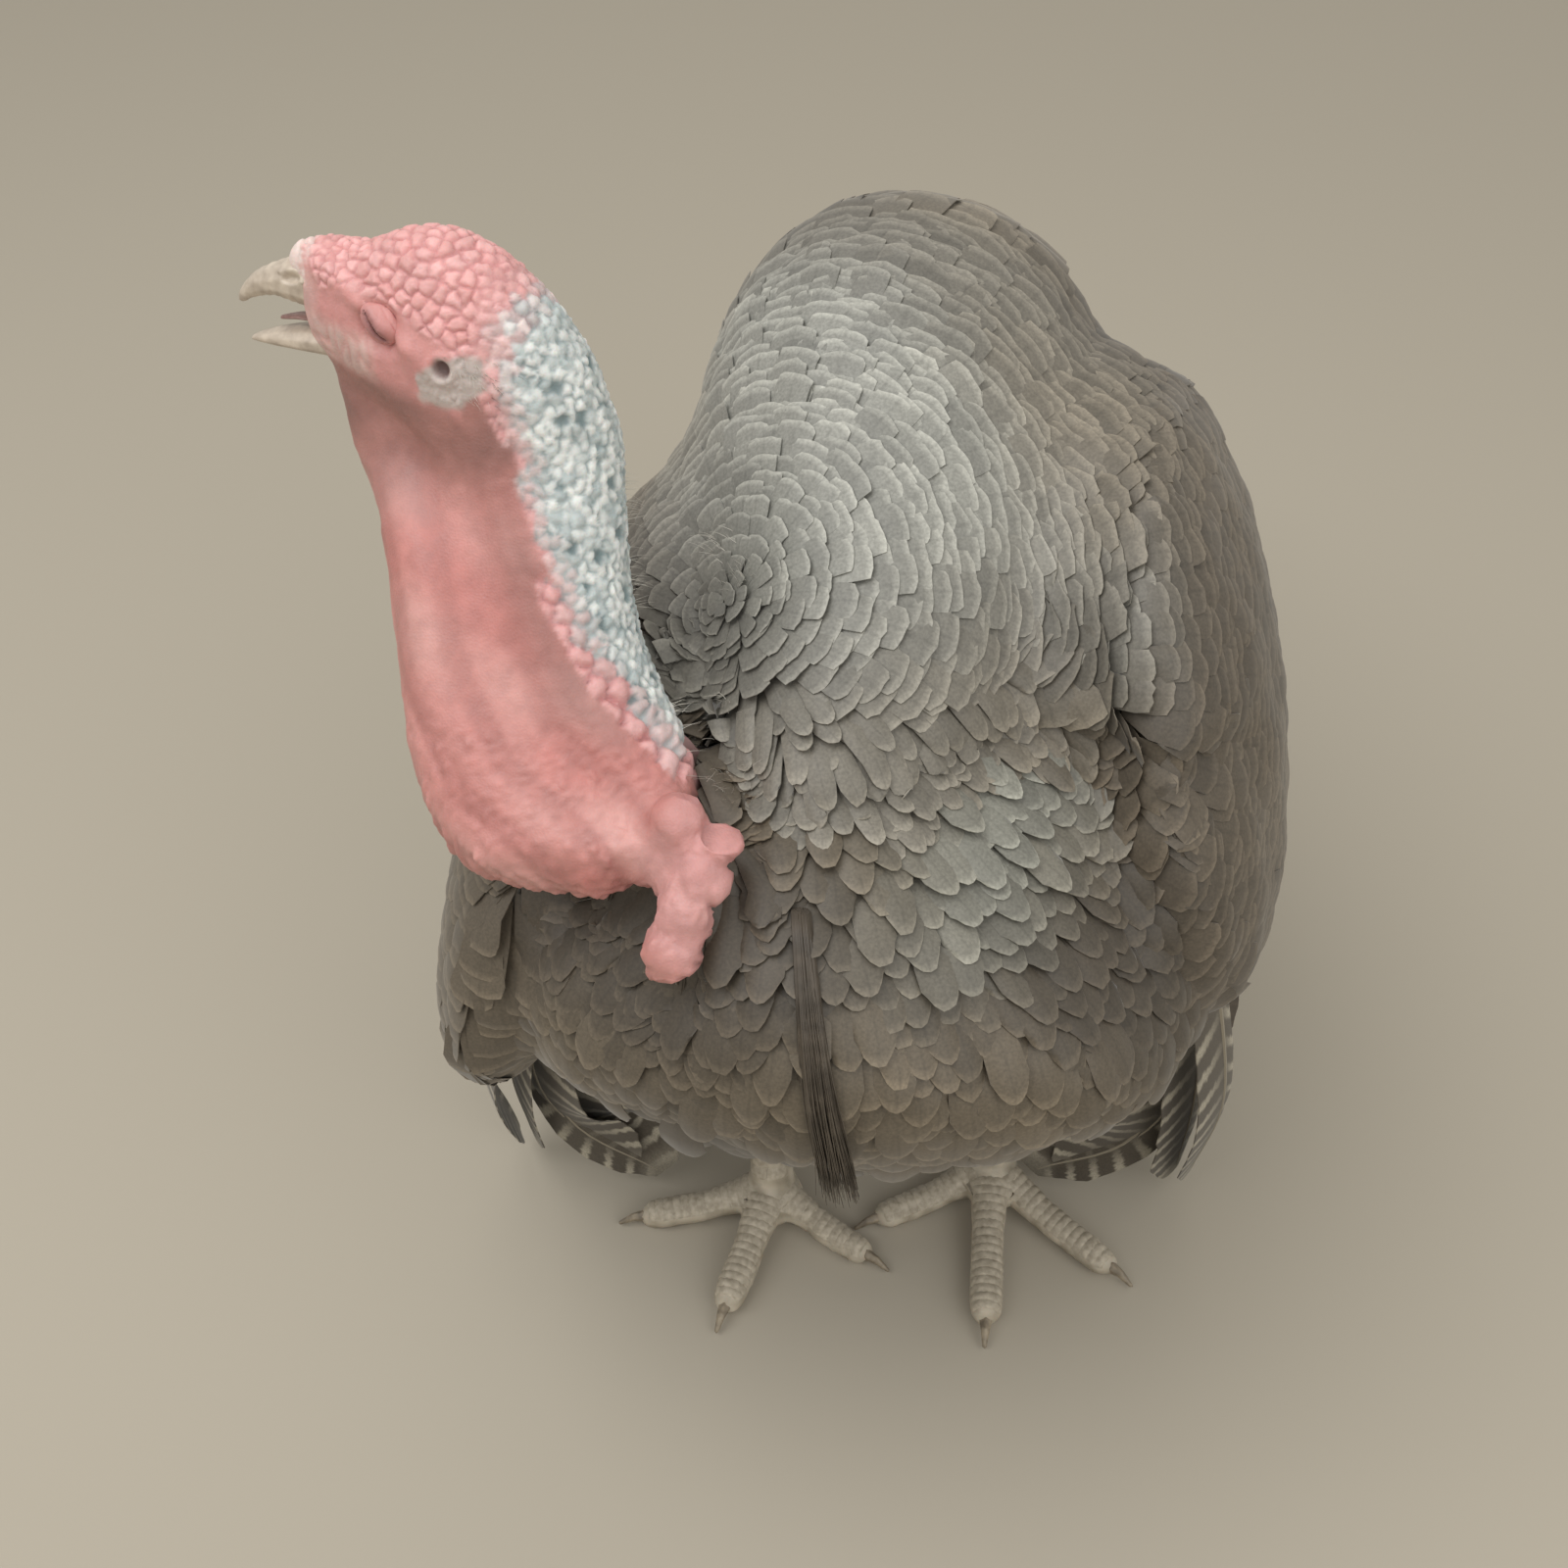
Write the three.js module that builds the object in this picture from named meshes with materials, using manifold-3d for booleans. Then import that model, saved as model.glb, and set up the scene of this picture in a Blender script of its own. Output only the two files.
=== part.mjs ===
// Domestic turkey, a mature tom standing half in display: body feathers fluffed, wings lowered,
// head raised and turned to its right, bill open. Life size, millimetres, +Z up.
// The bird faces -Y, its left side is +X, and its soles stand on z = 0.
import * as THREE from 'three';
import { mergeVertices } from 'three/addons/utils/BufferGeometryUtils.js';
import Module from 'manifold-3d';

const wasm = await Module();
wasm.setup();

// ---------------------------------------------------------------- driving dimensions

const GAP = 0.35;              // clearance between neighbouring pieces

const TRUNK_EGG = 0.5;         // how much narrower the trunk is at its top than at its foot
const TRUNK_KEEL = 0.5;        // how much its lowest part draws in again
const TRUNK_SIDES = 22;
const TRUNK_STEPS = 14;
// y, top z, bottom z, half width
const TRUNK_KEYS = [
  [-196, 328, 259, 46],
  [-178, 352, 232, 84],
  [-150, 374, 196, 112],
  [-110, 397, 150, 133],
  [-65, 422, 128, 147],
  [-10, 445, 115, 155],
  [40, 459, 115, 153],
  [90, 463, 124, 141],
  [140, 451, 143, 122],
  [190, 421, 176, 97],
  [230, 389, 214, 70],
  [258, 357, 252, 43],
];
const TRUNK_FRONT = [-207, 294];    // y and z of the foremost point of the breast
const TRUNK_REAR = [272, 310];      // y and z of the rump's end

// raised mantle feathers: a rounded ridge over the back, y, top z, radius
const HUMP_KEYS = [
  [-108, 402, 50],
  [-65, 430, 64],
  [-5, 460, 77],
  [45, 479, 82],
  [92, 487, 82],
  [142, 472, 75],
  [186, 441, 61],
];
const HUMP_SIDES = 16;
const HUMP_STEPS = 7;
const HUMP_FRONT = [-136, 358];
const HUMP_REAR = [218, 386];

const BACK_CUT = { y: -150, z: 352, rear: 225, drop: 56 };   // where back and breast part
const BREAST_CUT_Y = -55;
const RUMP_CUT_Y = 104;        // behind this the trunk is loose rump, flank and vent feathers

const WINGS = {
  left: { side: 1, centre: [127, 36, 310], droop: 0, tipShift: [0, 0, 0] },
  right: { side: -1, centre: [120, -18, 270], droop: 24, tipShift: [2, -34, 0] },
};
const WING_RADII = [43, 142, 136];
const WING_LEAN = 0.27;        // radians the wing's top leans in over the back
const PRIMARIES = 7;
const SECONDARIES = 6;
const VANE_THICKNESS = 1.6;

const TAIL_FEATHERS = 4;       // folded feathers that show on each side of the middle one
const TAIL_SPREAD = 0.03;
const TAIL_ROOT = [0, 226, 322];
const TAIL_LENGTH = 385;
const TAIL_DROP = 0.36;        // radians below the horizontal

// the head's own frame: where the gape's middle is, the way the bill points, and up
const HEAD_ORIGIN = new THREE.Vector3(-176, -70, 503);
const HEAD_YAW = 0.157;
const HEAD_PITCH = 0.105;
const BILL_LENGTH = 36;
const EYE_RADIUS = 6;
const EAR_RADIUS = 7.5;

// joint of the toes, hock, and where each claw's point lies
const FEET = {
  left: {
    side: 1, joint: [71, 6, 24], hock: [60, 34, 172],
    toes: { outer: [146, -45], middle: [78, -92], inner: [7, -35], hallux: [60, 58] },
  },
  right: {
    side: -1, joint: [-37, -26, 24], hock: [-52, 10, 168],
    toes: { outer: [-111, -52], middle: [-50, -106], inner: [27, -57], hallux: [-28, 27] },
  },
};
const CLAW_LENGTH = 15;
const TOE_RADII = { outer: 7.4, middle: 8.2, inner: 7.2, hallux: 5.4 };

// ---------------------------------------------------------------- materials

const finish = (color, roughness) => new THREE.MeshStandardMaterial({ color, roughness, metalness: 0 });
const COLOURS = {
  feather: 0x4b453d,
  mantle: 0x85827a,
  vane: 0x3a352f,
  wattle: 0xcf918c,
  crown: 0xe2aaa6,
  nape: 0xc3c9c6,
  horn: 0xd0bda4,
  scale: 0x978d7f,
  claw: 0x4d463d,
  eye: 0x241a14,
  ear: 0xb7a9a2,
  tongue: 0xb07a72,
  beard: 0x1f1c1a,
};

// ---------------------------------------------------------------- small geometry kit

const V = (x, y, z) => new THREE.Vector3(x, y, z);
const mix = (a, b, t) => a + (b - a) * t;

// Rows of [position, values...] read as smooth curves (cubic, no overshoot at the ends).
function follow(keys, s) {
  let i = 0;
  while (i < keys.length - 2 && s > keys[i + 1][0]) i += 1;
  const [a, b] = [keys[i], keys[i + 1]];
  const before = keys[Math.max(i - 1, 0)];
  const after = keys[Math.min(i + 2, keys.length - 1)];
  const h = b[0] - a[0];
  const t = Math.min(Math.max((s - a[0]) / h, 0), 1);
  return a.slice(1).map((p, k) => {
    const q = b[k + 1];
    const m0 = (h * (q - before[k + 1])) / (b[0] - before[0]);
    const m1 = (h * (after[k + 1] - p)) / (after[0] - a[0]);
    const [t2, t3] = [t * t, t * t * t];
    return (2 * t3 - 3 * t2 + 1) * p + (t3 - 2 * t2 + t) * m0 + (3 * t2 - 2 * t3) * q + (t3 - t2) * m1;
  });
}

// A closed skin over rings of equal count, with a point or a flat cap at each end.
function skin(rings, start, end) {
  const n = rings[0].length;
  const points = rings.flat();
  const faces = [];
  rings.slice(1).forEach((_, r) => {
    for (let k = 0; k < n; k += 1) {
      const a = r * n + k;
      const b = r * n + ((k + 1) % n);
      faces.push(a, b, a + n, b, b + n, a + n);
    }
  });
  const cap = (ring, apex, flip) => {
    const centre = ring.reduce((sum, p) => sum.add(p), V(0, 0, 0)).multiplyScalar(1 / n);
    const tip = points.push(apex ?? centre) - 1;
    const first = flip ? 0 : (rings.length - 1) * n;
    for (let k = 0; k < n; k += 1) {
      const [a, b] = [first + k, first + ((k + 1) % n)];
      faces.push(...(flip ? [b, a, tip] : [a, b, tip]));
    }
  };
  cap(rings[0], start, true);
  cap(rings[rings.length - 1], end, false);
  const geometry = new THREE.BufferGeometry();
  const positions = points.flatMap((p) => p.toArray());
  geometry.setAttribute('position', new THREE.Float32BufferAttribute(positions, 3));
  geometry.setIndex(faces);
  return geometry;
}

// Turns a geometry into a solid; one wound inside out is turned round first.
function solid(geometry) {
  const bare = geometry.clone();
  bare.deleteAttribute('normal');
  bare.deleteAttribute('uv');
  const merged = mergeVertices(bare, 1e-4);
  const vertProperties = new Float32Array(merged.attributes.position.array);
  const triVerts = new Uint32Array(merged.index.array);
  const position = merged.attributes.position;
  const [a, b, c] = [V(0, 0, 0), V(0, 0, 0), V(0, 0, 0)];
  let volume = 0;
  for (let i = 0; i < triVerts.length; i += 3) {
    a.fromBufferAttribute(position, triVerts[i]);
    b.fromBufferAttribute(position, triVerts[i + 1]);
    c.fromBufferAttribute(position, triVerts[i + 2]);
    volume += a.dot(b.cross(c));
  }
  if (volume < 0) {
    for (let i = 0; i < triVerts.length; i += 3) {
      [triVerts[i], triVerts[i + 1]] = [triVerts[i + 1], triVerts[i]];
    }
  }
  return new wasm.Manifold(new wasm.Mesh({ numProp: 3, vertProperties, triVerts }));
}

const joined = (solids) => solids.reduce((sum, part) => sum.add(part));
const cut = (body, ...tools) => tools.reduce((left, tool) => left.subtract(tool), body);
const largest = (body) => body.decompose().reduce((a, b) => (a.volume() > b.volume() ? a : b));

// An ellipsoid, turned by Euler angles.
function egg(centre, radii, turn = [0, 0, 0], detail = [14, 9]) {
  const geometry = new THREE.SphereGeometry(1, detail[0], detail[1]);
  geometry.scale(...radii);
  geometry.rotateX(turn[0]);
  geometry.rotateY(turn[1]);
  geometry.rotateZ(turn[2]);
  geometry.translate(...centre);
  return solid(geometry);
}

function block(low, high) {
  const size = high.map((h, k) => h - low[k]);
  const geometry = new THREE.BoxGeometry(...size);
  geometry.translate(...low.map((l, k) => l + size[k] / 2));
  return solid(geometry);
}

// A body along a curve. `sizes(t)` gives the half sizes along `across` and along the third
// direction; `across` is made square to the curve at each step.
function limb({ path, across, sizes, sides = 10, steps = 8, ends = [0, 0], grow = 0 }) {
  const curve = new THREE.CatmullRomCurve3(path.map((p) => V(...p)));
  const rings = [];
  for (let i = 0; i <= steps; i += 1) {
    const t = i / steps;
    const centre = curve.getPoint(t);
    const along = curve.getTangent(t);
    const first = V(...across);
    first.addScaledVector(along, -first.dot(along)).normalize();
    const second = along.clone().cross(first);
    const [a, b] = sizes(t).map((size) => size + grow);
    const ring = [];
    for (let k = 0; k < sides; k += 1) {
      const angle = (2 * Math.PI * k) / sides;
      ring.push(centre.clone().addScaledVector(first, a * Math.cos(angle))
        .addScaledVector(second, b * Math.sin(angle)));
    }
    rings.push(ring);
  }
  const start = curve.getPoint(0).addScaledVector(curve.getTangent(0), -ends[0] - grow);
  const end = curve.getPoint(1).addScaledVector(curve.getTangent(1), ends[1] + grow);
  return solid(skin(rings, start, end));
}

// ---------------------------------------------------------------- trunk

function trunkShape(grow) {
  const first = TRUNK_KEYS[0][0];
  const last = TRUNK_KEYS[TRUNK_KEYS.length - 1][0];
  const rings = [];
  for (let i = 0; i <= TRUNK_STEPS; i += 1) {
    const y = mix(first, last, i / TRUNK_STEPS);
    const [top, bottom, width] = follow(TRUNK_KEYS, y);
    const middle = (top + bottom) / 2;
    const half = (top - bottom) / 2;
    const ring = [];
    for (let k = 0; k < TRUNK_SIDES; k += 1) {
      const angle = (2 * Math.PI * k) / TRUNK_SIDES;
      const high = Math.sin(angle);
      const drawn = TRUNK_EGG * high + TRUNK_KEEL * Math.min(high, 0) ** 2;
      const x = Math.cos(angle) * (width * (1 - drawn) + grow);
      ring.push(V(x, y, middle + high * (half + grow)));
    }
    rings.push(ring);
  }
  const front = V(0, TRUNK_FRONT[0] - grow, TRUNK_FRONT[1]);
  const rear = V(0, TRUNK_REAR[0] + grow, TRUNK_REAR[1]);
  return solid(skin(rings, front, rear));
}

function humpShape(grow) {
  const first = HUMP_KEYS[0][0];
  const last = HUMP_KEYS[HUMP_KEYS.length - 1][0];
  const rings = [];
  for (let i = 0; i <= HUMP_STEPS; i += 1) {
    const y = mix(first, last, i / HUMP_STEPS);
    const [top, radius] = follow(HUMP_KEYS, y);
    const ring = [];
    for (let k = 0; k < HUMP_SIDES; k += 1) {
      const angle = (2 * Math.PI * k) / HUMP_SIDES;
      const reach = radius + grow;
      ring.push(V(reach * Math.cos(angle), y, top - radius + reach * Math.sin(angle)));
    }
    rings.push(ring);
  }
  const front = V(0, HUMP_FRONT[0] - grow, HUMP_FRONT[1]);
  const rear = V(0, HUMP_REAR[0] + grow, HUMP_REAR[1]);
  return solid(skin(rings, front, rear));
}

const bodyShape = (grow) => trunkShape(grow).add(humpShape(grow));

// The trunk is parted by thin cuts into breast, belly, back and rump.
function trunkPieces() {
  const whole = bodyShape(0);
  const far = 600;
  const slope = BACK_CUT.drop / (BACK_CUT.rear - BACK_CUT.y);
  const plane = (y, lift) => BACK_CUT.z - slope * (y - BACK_CUT.y) + lift;
  const section = (y, low, high) => [V(-far, y, low), V(far, y, low), V(far, y, high), V(-far, y, high)];
  const above = solid(skin([
    section(-far, plane(-far, GAP), far),
    section(far, plane(far, GAP), far),
  ]));
  const below = solid(skin([
    section(-far, -far, plane(-far, 0)),
    section(far, -far, plane(far, 0)),
  ]));
  const ahead = block([-far, -far, -far], [far, RUMP_CUT_Y, far]);
  const behind = block([-far, RUMP_CUT_Y + GAP, -far], [far, far, far]);
  const front = block([-far, -far, -far], [far, BREAST_CUT_Y, far]);
  const middle = block([-far, BREAST_CUT_Y + GAP, -far], [far, RUMP_CUT_Y, far]);
  return {
    back: whole.intersect(above).intersect(ahead),
    breast: whole.intersect(below).intersect(front),
    belly: whole.intersect(below).intersect(middle),
    rump: whole.intersect(behind),
  };
}

// ---------------------------------------------------------------- head and neck

const forward = V(
  -Math.cos(HEAD_YAW) * Math.cos(HEAD_PITCH),
  Math.sin(HEAD_YAW) * Math.cos(HEAD_PITCH),
  Math.sin(HEAD_PITCH),
);
const leftward = V(0, 0, 1).cross(forward).normalize();
const upward = forward.clone().cross(leftward);

// A point of the head: ahead of the gape, towards the bird's left, above the gape.
const onHead = (ahead, left, high) => HEAD_ORIGIN.clone().addScaledVector(forward, ahead)
  .addScaledVector(leftward, left).addScaledVector(upward, high);

// A body whose sections stand between two edge lines, each row [edge one, edge two, half width].
function between({ rows, sides, steps, ends, bulge = 1, grow = 0 }) {
  const edgeOne = new THREE.CatmullRomCurve3(rows.map((row) => row[0]));
  const edgeTwo = new THREE.CatmullRomCurve3(rows.map((row) => row[1]));
  const widths = rows.map((row, i) => [i / (rows.length - 1), row[2]]);
  const middle = (t) => edgeOne.getPoint(t).add(edgeTwo.getPoint(t)).multiplyScalar(0.5);
  const heading = (t) => middle(Math.min(t + 0.02, 1)).sub(middle(Math.max(t - 0.02, 0))).normalize();
  const rings = [];
  for (let i = 0; i <= steps; i += 1) {
    const t = i / steps;
    const centre = middle(t);
    const along = heading(t);
    const reach = edgeOne.getPoint(t).sub(centre);
    const across = along.clone().cross(reach).normalize();
    const a = reach.length() + grow;
    const b = follow(widths, t)[0] + grow;
    reach.normalize();
    const ring = [];
    for (let k = 0; k < sides; k += 1) {
      const angle = (2 * Math.PI * k) / sides;
      const c = Math.cos(angle);
      const s = Math.sin(angle);
      const swell = Math.abs(s) ** bulge * Math.sign(s);
      ring.push(centre.clone().addScaledVector(reach, a * c).addScaledVector(across, b * swell));
    }
    rings.push(ring);
  }
  const start = middle(0).addScaledVector(heading(0), -ends[0] - grow);
  const end = middle(1).addScaledVector(heading(1), ends[1] + grow);
  return solid(skin(rings, start, end));
}

// Crown or nape edge, jaw or throat edge, half width: from the bill's root to the shoulders.
const HEAD_ROWS = [
  [onHead(10, 0, 19), onHead(5, 0, -13), 9],
  [onHead(-5, 0, 29), onHead(-4, 0, -18), 14.5],
  [onHead(-22, 0, 34), onHead(-13, 0, -23), 18.5],
  [onHead(-40, 0, 42), onHead(-24, 0, -29), 22],
  [onHead(-62, 0, 37), onHead(-34, 0, -38), 24],
  [onHead(-84, 0, 20), onHead(-40, 0, -46), 26],
  [V(-78, -84, 484), V(-138, -77, 440), 28],
  [V(-74, -92, 452), V(-137, -92, 422), 29],
  [V(-70, -100, 422), V(-132, -108, 404), 30],
  [V(-60, -108, 396), V(-120, -126, 380), 32],
  [V(-42, -110, 374), V(-92, -142, 350), 34],
  [V(-14, -94, 360), V(-50, -138, 318), 34],
];
const headNeckShape = (grow) => between({ rows: HEAD_ROWS, sides: 12, steps: 14, ends: [2, 4], grow });

// Throat edge and inner edge of the hanging skin, from the chin to its free lower border.
const DEWLAP_ROWS = [
  [onHead(1, 0, -17), onHead(-22, 0, -17), 6],
  [onHead(1, 0, -36), onHead(-34, 0, -34), 12],
  [onHead(-8, 0, -57), onHead(-52, 0, -52), 17],
  [V(-161, -93, 441), V(-106, -86, 446), 20],
  [V(-153, -112, 416), V(-100, -104, 424), 22],
  [V(-145, -134, 386), V(-86, -118, 394), 25],
  [V(-137, -151, 363), V(-62, -134, 370), 27],
  [V(-118, -166, 347), V(-36, -158, 356), 23],
];
const dewlapShape = (grow) => between({
  rows: DEWLAP_ROWS, sides: 10, steps: 10, ends: [2, 15], bulge: 0.85, grow,
});

// The large fleshy lobes in a row down the border of nape and throat.
const CARUNCLES = [
  [V(-86, -138, 414), 8, 7],
  [V(-74, -147, 398), 8.5, 7],
  [V(-59, -156, 385), 9.5, 8],
  [V(-43, -163, 377), 11, 9],
  [V(-29, -167, 369), 11, 12],
  [V(-36, -177, 354), 11.5, 14],
  [V(-42, -182, 338), 11, 15],
];
const carunclesShape = (grow) => joined(CARUNCLES.map(([centre, wide, tall]) => (
  egg(centre.toArray(), [wide + grow, wide + grow, tall + grow], [0, 0, 0], [7, 5])
)));

function upperBillShape(grow) {
  const rows = [
    [onHead(-2, 0, 20), onHead(-2, 0, 2), 9],
    [onHead(10, 0, 18.5), onHead(9, 0, 1.5), 8.5],
    [onHead(20, 0, 13.5), onHead(17, 0, 2.5), 6.6],
    [onHead(28, 0, 8), onHead(24, 0, 0.5), 4.6],
    [onHead(33.5, 0, 1), onHead(29.5, 0, -2), 2.6],
    [onHead(BILL_LENGTH - 1, 0, -3.5), onHead(33, 0, -4.5), 1.1],
  ];
  return between({ rows, sides: 10, steps: 7, ends: [4, 0.6], grow });
}

function lowerBillShape(grow) {
  const rows = [
    [onHead(-2, 0, -4), onHead(-3, 0, -14), 8.5],
    [onHead(8, 0, -6), onHead(6, 0, -15), 7.6],
    [onHead(18, 0, -9.5), onHead(17, 0, -16.5), 5.6],
    [onHead(26, 0, -13), onHead(26, 0, -17.5), 3.4],
    [onHead(31, 0, -16.4), onHead(31, 0, -18), 1.2],
  ];
  return between({ rows, sides: 10, steps: 5, ends: [4, 0.6], grow });
}

const tongueShape = (grow) => limb({
  path: [onHead(-2, 0, -2.2), onHead(9, 0, -3.2), onHead(19, 0, -6.4)].map((p) => p.toArray()),
  across: leftward.toArray(),
  sizes: (t) => [mix(4.2, 1.2, t * t), mix(1.5, 0.7, t)],
  sides: 6, steps: 3, ends: [1, 0.6], grow,
});

const snoodShape = (grow) => limb({
  path: [onHead(2, 0, 20), onHead(8, 0, 27), onHead(15, 0, 27)].map((p) => p.toArray()),
  across: leftward.toArray(),
  sizes: (t) => [mix(6.5, 3.6, t), mix(6, 3.4, t)],
  sides: 8, steps: 3, ends: [2, 3.2], grow,
});

const eyeShape = (side, grow) => egg(
  onHead(-28, side * 14.6, 11.5).toArray(), Array(3).fill(EYE_RADIUS + grow), [0, 0, 0], [8, 6],
);
const orbitShape = (side) => egg(
  onHead(-28, side * 22, 11.5).toArray(), [7.5, 5.5, 6.5], [0, 0, 0], [8, 5],
);

// The ear is a low ring of bare skin round the opening.
function earShape(side, grow) {
  const hole = 2.6;
  const profile = grow
    ? [[0, -5], [EAR_RADIUS, -5], [EAR_RADIUS, 3], [0, 3]]
    : [[hole, -4], [EAR_RADIUS, -4], [EAR_RADIUS, 0.4], [hole + 1, 2], [hole, -4]];
  const points = profile.map(([r, h]) => new THREE.Vector2(Math.max(r + (r ? grow : 0), 0), h));
  const ring = new THREE.LatheGeometry(points, 8);
  const place = onHead(-51, side * 24.4, 3);
  const out = leftward.clone().multiplyScalar(side).addScaledVector(upward, -0.05).normalize();
  ring.applyQuaternion(new THREE.Quaternion().setFromUnitVectors(V(0, 1, 0), out));
  ring.translate(...place.toArray());
  return solid(ring);
}

// ---------------------------------------------------------------- wings

function wingShape(wing, grow) {
  const radii = WING_RADII.map((r) => r + grow);
  const [x, y, z] = wing.centre;
  return egg([wing.side * x, y, z], radii, [0, -wing.side * WING_LEAN, 0], [14, 8]);
}

// A fan of flight feathers as one pleated sheet. Each feather is {path, width, facing}; the sheet
// runs down every shaft, dips between neighbours, and is notched between their tips.
function fan(feathers, { pleat, notch, rows }) {
  const lines = feathers.map(({ path }) => new THREE.CatmullRomCurve3(path));
  const last = feathers.length - 1;
  const columns = [];
  const addColumn = (at, facing) => columns.push(Array.from({ length: rows }, (_, r) => {
    const point = at(r / (rows - 1));
    return [point, facing];
  }));
  const edge = (i, way) => (t) => {
    const { width } = feathers[i];
    const reach = lines[last].getPoint(t).sub(lines[0].getPoint(t)).normalize();
    const out = way * (width / 2) * Math.min(1, 0.4 + t * 2);
    return lines[i].getPoint(t * (1 - notch / 2)).addScaledVector(reach, out);
  };
  addColumn(edge(0, -1), feathers[0].facing);
  feathers.forEach(({ facing }, i) => {
    addColumn((t) => lines[i].getPoint(t), facing);
    if (i < last) {
      const dip = facing.clone().add(feathers[i + 1].facing).normalize();
      addColumn((t) => {
        const s = t * (1 - notch);
        const between = lines[i].getPoint(s).lerp(lines[i + 1].getPoint(s), 0.5);
        return between.addScaledVector(dip, -pleat * Math.min(1, t * 3));
      }, dip);
    }
  });
  addColumn(edge(last, 1), feathers[last].facing);

  const points = [];
  [0.5, -0.5].forEach((half) => columns.forEach((column) => column.forEach(([point, facing]) => {
    points.push(point.clone().addScaledVector(facing, half * VANE_THICKNESS));
  })));
  const count = columns.length;
  const top = (c, r) => c * rows + r;
  const under = (c, r) => count * rows + c * rows + r;
  const faces = [];
  const quad = (p, q, r, s) => faces.push(p, q, r, p, r, s);
  for (let c = 0; c < count - 1; c += 1) {
    for (let r = 0; r < rows - 1; r += 1) {
      quad(top(c, r), top(c + 1, r), top(c + 1, r + 1), top(c, r + 1));
      quad(under(c, r), under(c, r + 1), under(c + 1, r + 1), under(c + 1, r));
    }
    quad(top(c, 0), under(c, 0), under(c + 1, 0), top(c + 1, 0));
    quad(top(c, rows - 1), top(c + 1, rows - 1), under(c + 1, rows - 1), under(c, rows - 1));
  }
  for (let r = 0; r < rows - 1; r += 1) {
    quad(top(0, r), top(0, r + 1), under(0, r + 1), under(0, r));
    quad(top(count - 1, r), under(count - 1, r), under(count - 1, r + 1), top(count - 1, r + 1));
  }
  const geometry = new THREE.BufferGeometry();
  const positions = points.flatMap((p) => p.toArray());
  geometry.setAttribute('position', new THREE.Float32BufferAttribute(positions, 3));
  geometry.setIndex(faces);
  return solid(geometry);
}

// Where the primaries' tips lie, from the leading one at the front to the innermost.
const PRIMARY_TIPS = [
  [0, 172, 22, 12],
  [0.15, 150, 26, 10],
  [0.3, 118, 24, 12],
  [0.45, 92, 26, 20],
  [0.65, 106, 78, 24],
  [0.85, 132, 124, 44],
  [1, 150, 150, 70],
];

function primariesShape(wing) {
  const feathers = [];
  const shift = V(...wing.tipShift);
  for (let i = 0; i < PRIMARIES; i += 1) {
    const t = i / (PRIMARIES - 1);
    const root = V(mix(166, 158, t), mix(-42, 62, t), mix(226, 214, t) - wing.droop);
    root.y += shift.y;
    const tip = V(...follow(PRIMARY_TIPS, t)).add(shift);
    const bend = root.clone().lerp(tip, 0.55);
    bend.x = Math.max(root.x, tip.x) + mix(4, -6, t);
    const path = [root, bend, tip].map((p) => V(p.x * wing.side, p.y, p.z));
    feathers.push({ path, width: 30, facing: V(wing.side, -0.55 + 0.25 * t, 0.1).normalize() });
  }
  return fan(feathers, { pleat: 3, notch: 0.16, rows: 4 });
}

function secondariesShape(wing) {
  const feathers = [];
  for (let i = 0; i < SECONDARIES; i += 1) {
    const t = i / (SECONDARIES - 1);
    const root = V(mix(160, 126, t), mix(86, 104, t), mix(222, 352, t) - wing.droop);
    const tip = V(mix(148, 92, t), mix(176, 268, t), mix(94, 276, t) - wing.droop * 0.5);
    const bend = root.clone().lerp(tip, 0.5);
    bend.x += mix(10, 16, t);
    const path = [root, bend, tip].map((p) => V(p.x * wing.side, p.y, p.z));
    feathers.push({ path, width: 50, facing: V(wing.side, 0.35, 0.2).normalize() });
  }
  return fan(feathers, { pleat: 3, notch: 0.08, rows: 4 });
}

// ---------------------------------------------------------------- tail

function tailShape() {
  const feathers = [];
  const root = V(...TAIL_ROOT);
  for (let i = -TAIL_FEATHERS; i <= TAIL_FEATHERS; i += 1) {
    const rank = Math.abs(i);
    const yaw = i * TAIL_SPREAD;
    const length = TAIL_LENGTH - rank * rank * 1.6;
    const way = V(Math.sin(yaw), Math.cos(yaw) * Math.cos(TAIL_DROP), -Math.sin(TAIL_DROP));
    const start = root.clone().add(V(i * 6, 0, -rank * rank * 0.5));
    const path = [0, 0.5, 1].map((t) => start.clone().addScaledVector(way, length * t)
      .add(V(0, 0, -26 * t * t - rank * rank * 0.35 * t)));
    const facing = V(i * 0.07, Math.sin(TAIL_DROP), Math.cos(TAIL_DROP)).normalize();
    feathers.push({ path, width: 26, facing });
  }
  return fan(feathers, { pleat: 2.5, notch: 0.05, rows: 4 });
}

const tailCovertsShape = (grow) => limb({
  path: [[0, 215, 318], [0, 290, 304], [0, 370, 270], [0, 430, 240]],
  across: [1, 0, 0],
  sizes: (t) => [mix(62, 44, t) * Math.sqrt(1 - 0.7 * t * t), mix(34, 8, t)],
  sides: 12, steps: 5, ends: [6, 14], grow,
});

// ---------------------------------------------------------------- legs and feet

const thighShape = (leg, grow) => egg(
  [leg.hock[0] * 1.02, leg.hock[1] - 16, leg.hock[2] - 14], [46 + grow, 56 + grow, 56 + grow],
  [0.25, 0, 0], [10, 6],
);

const shankShape = (leg, grow) => limb({
  path: [leg.hock, leg.hock.map((h, k) => mix(h, leg.joint[k], 0.5)), leg.joint],
  across: [1, 0, 0],
  sizes: (t) => [mix(9.5, 8.6, Math.sin(Math.PI * t)), mix(11, 8.8, Math.sin(Math.PI * t))],
  sides: 8, steps: 3, ends: [4, 5], grow,
});

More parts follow.
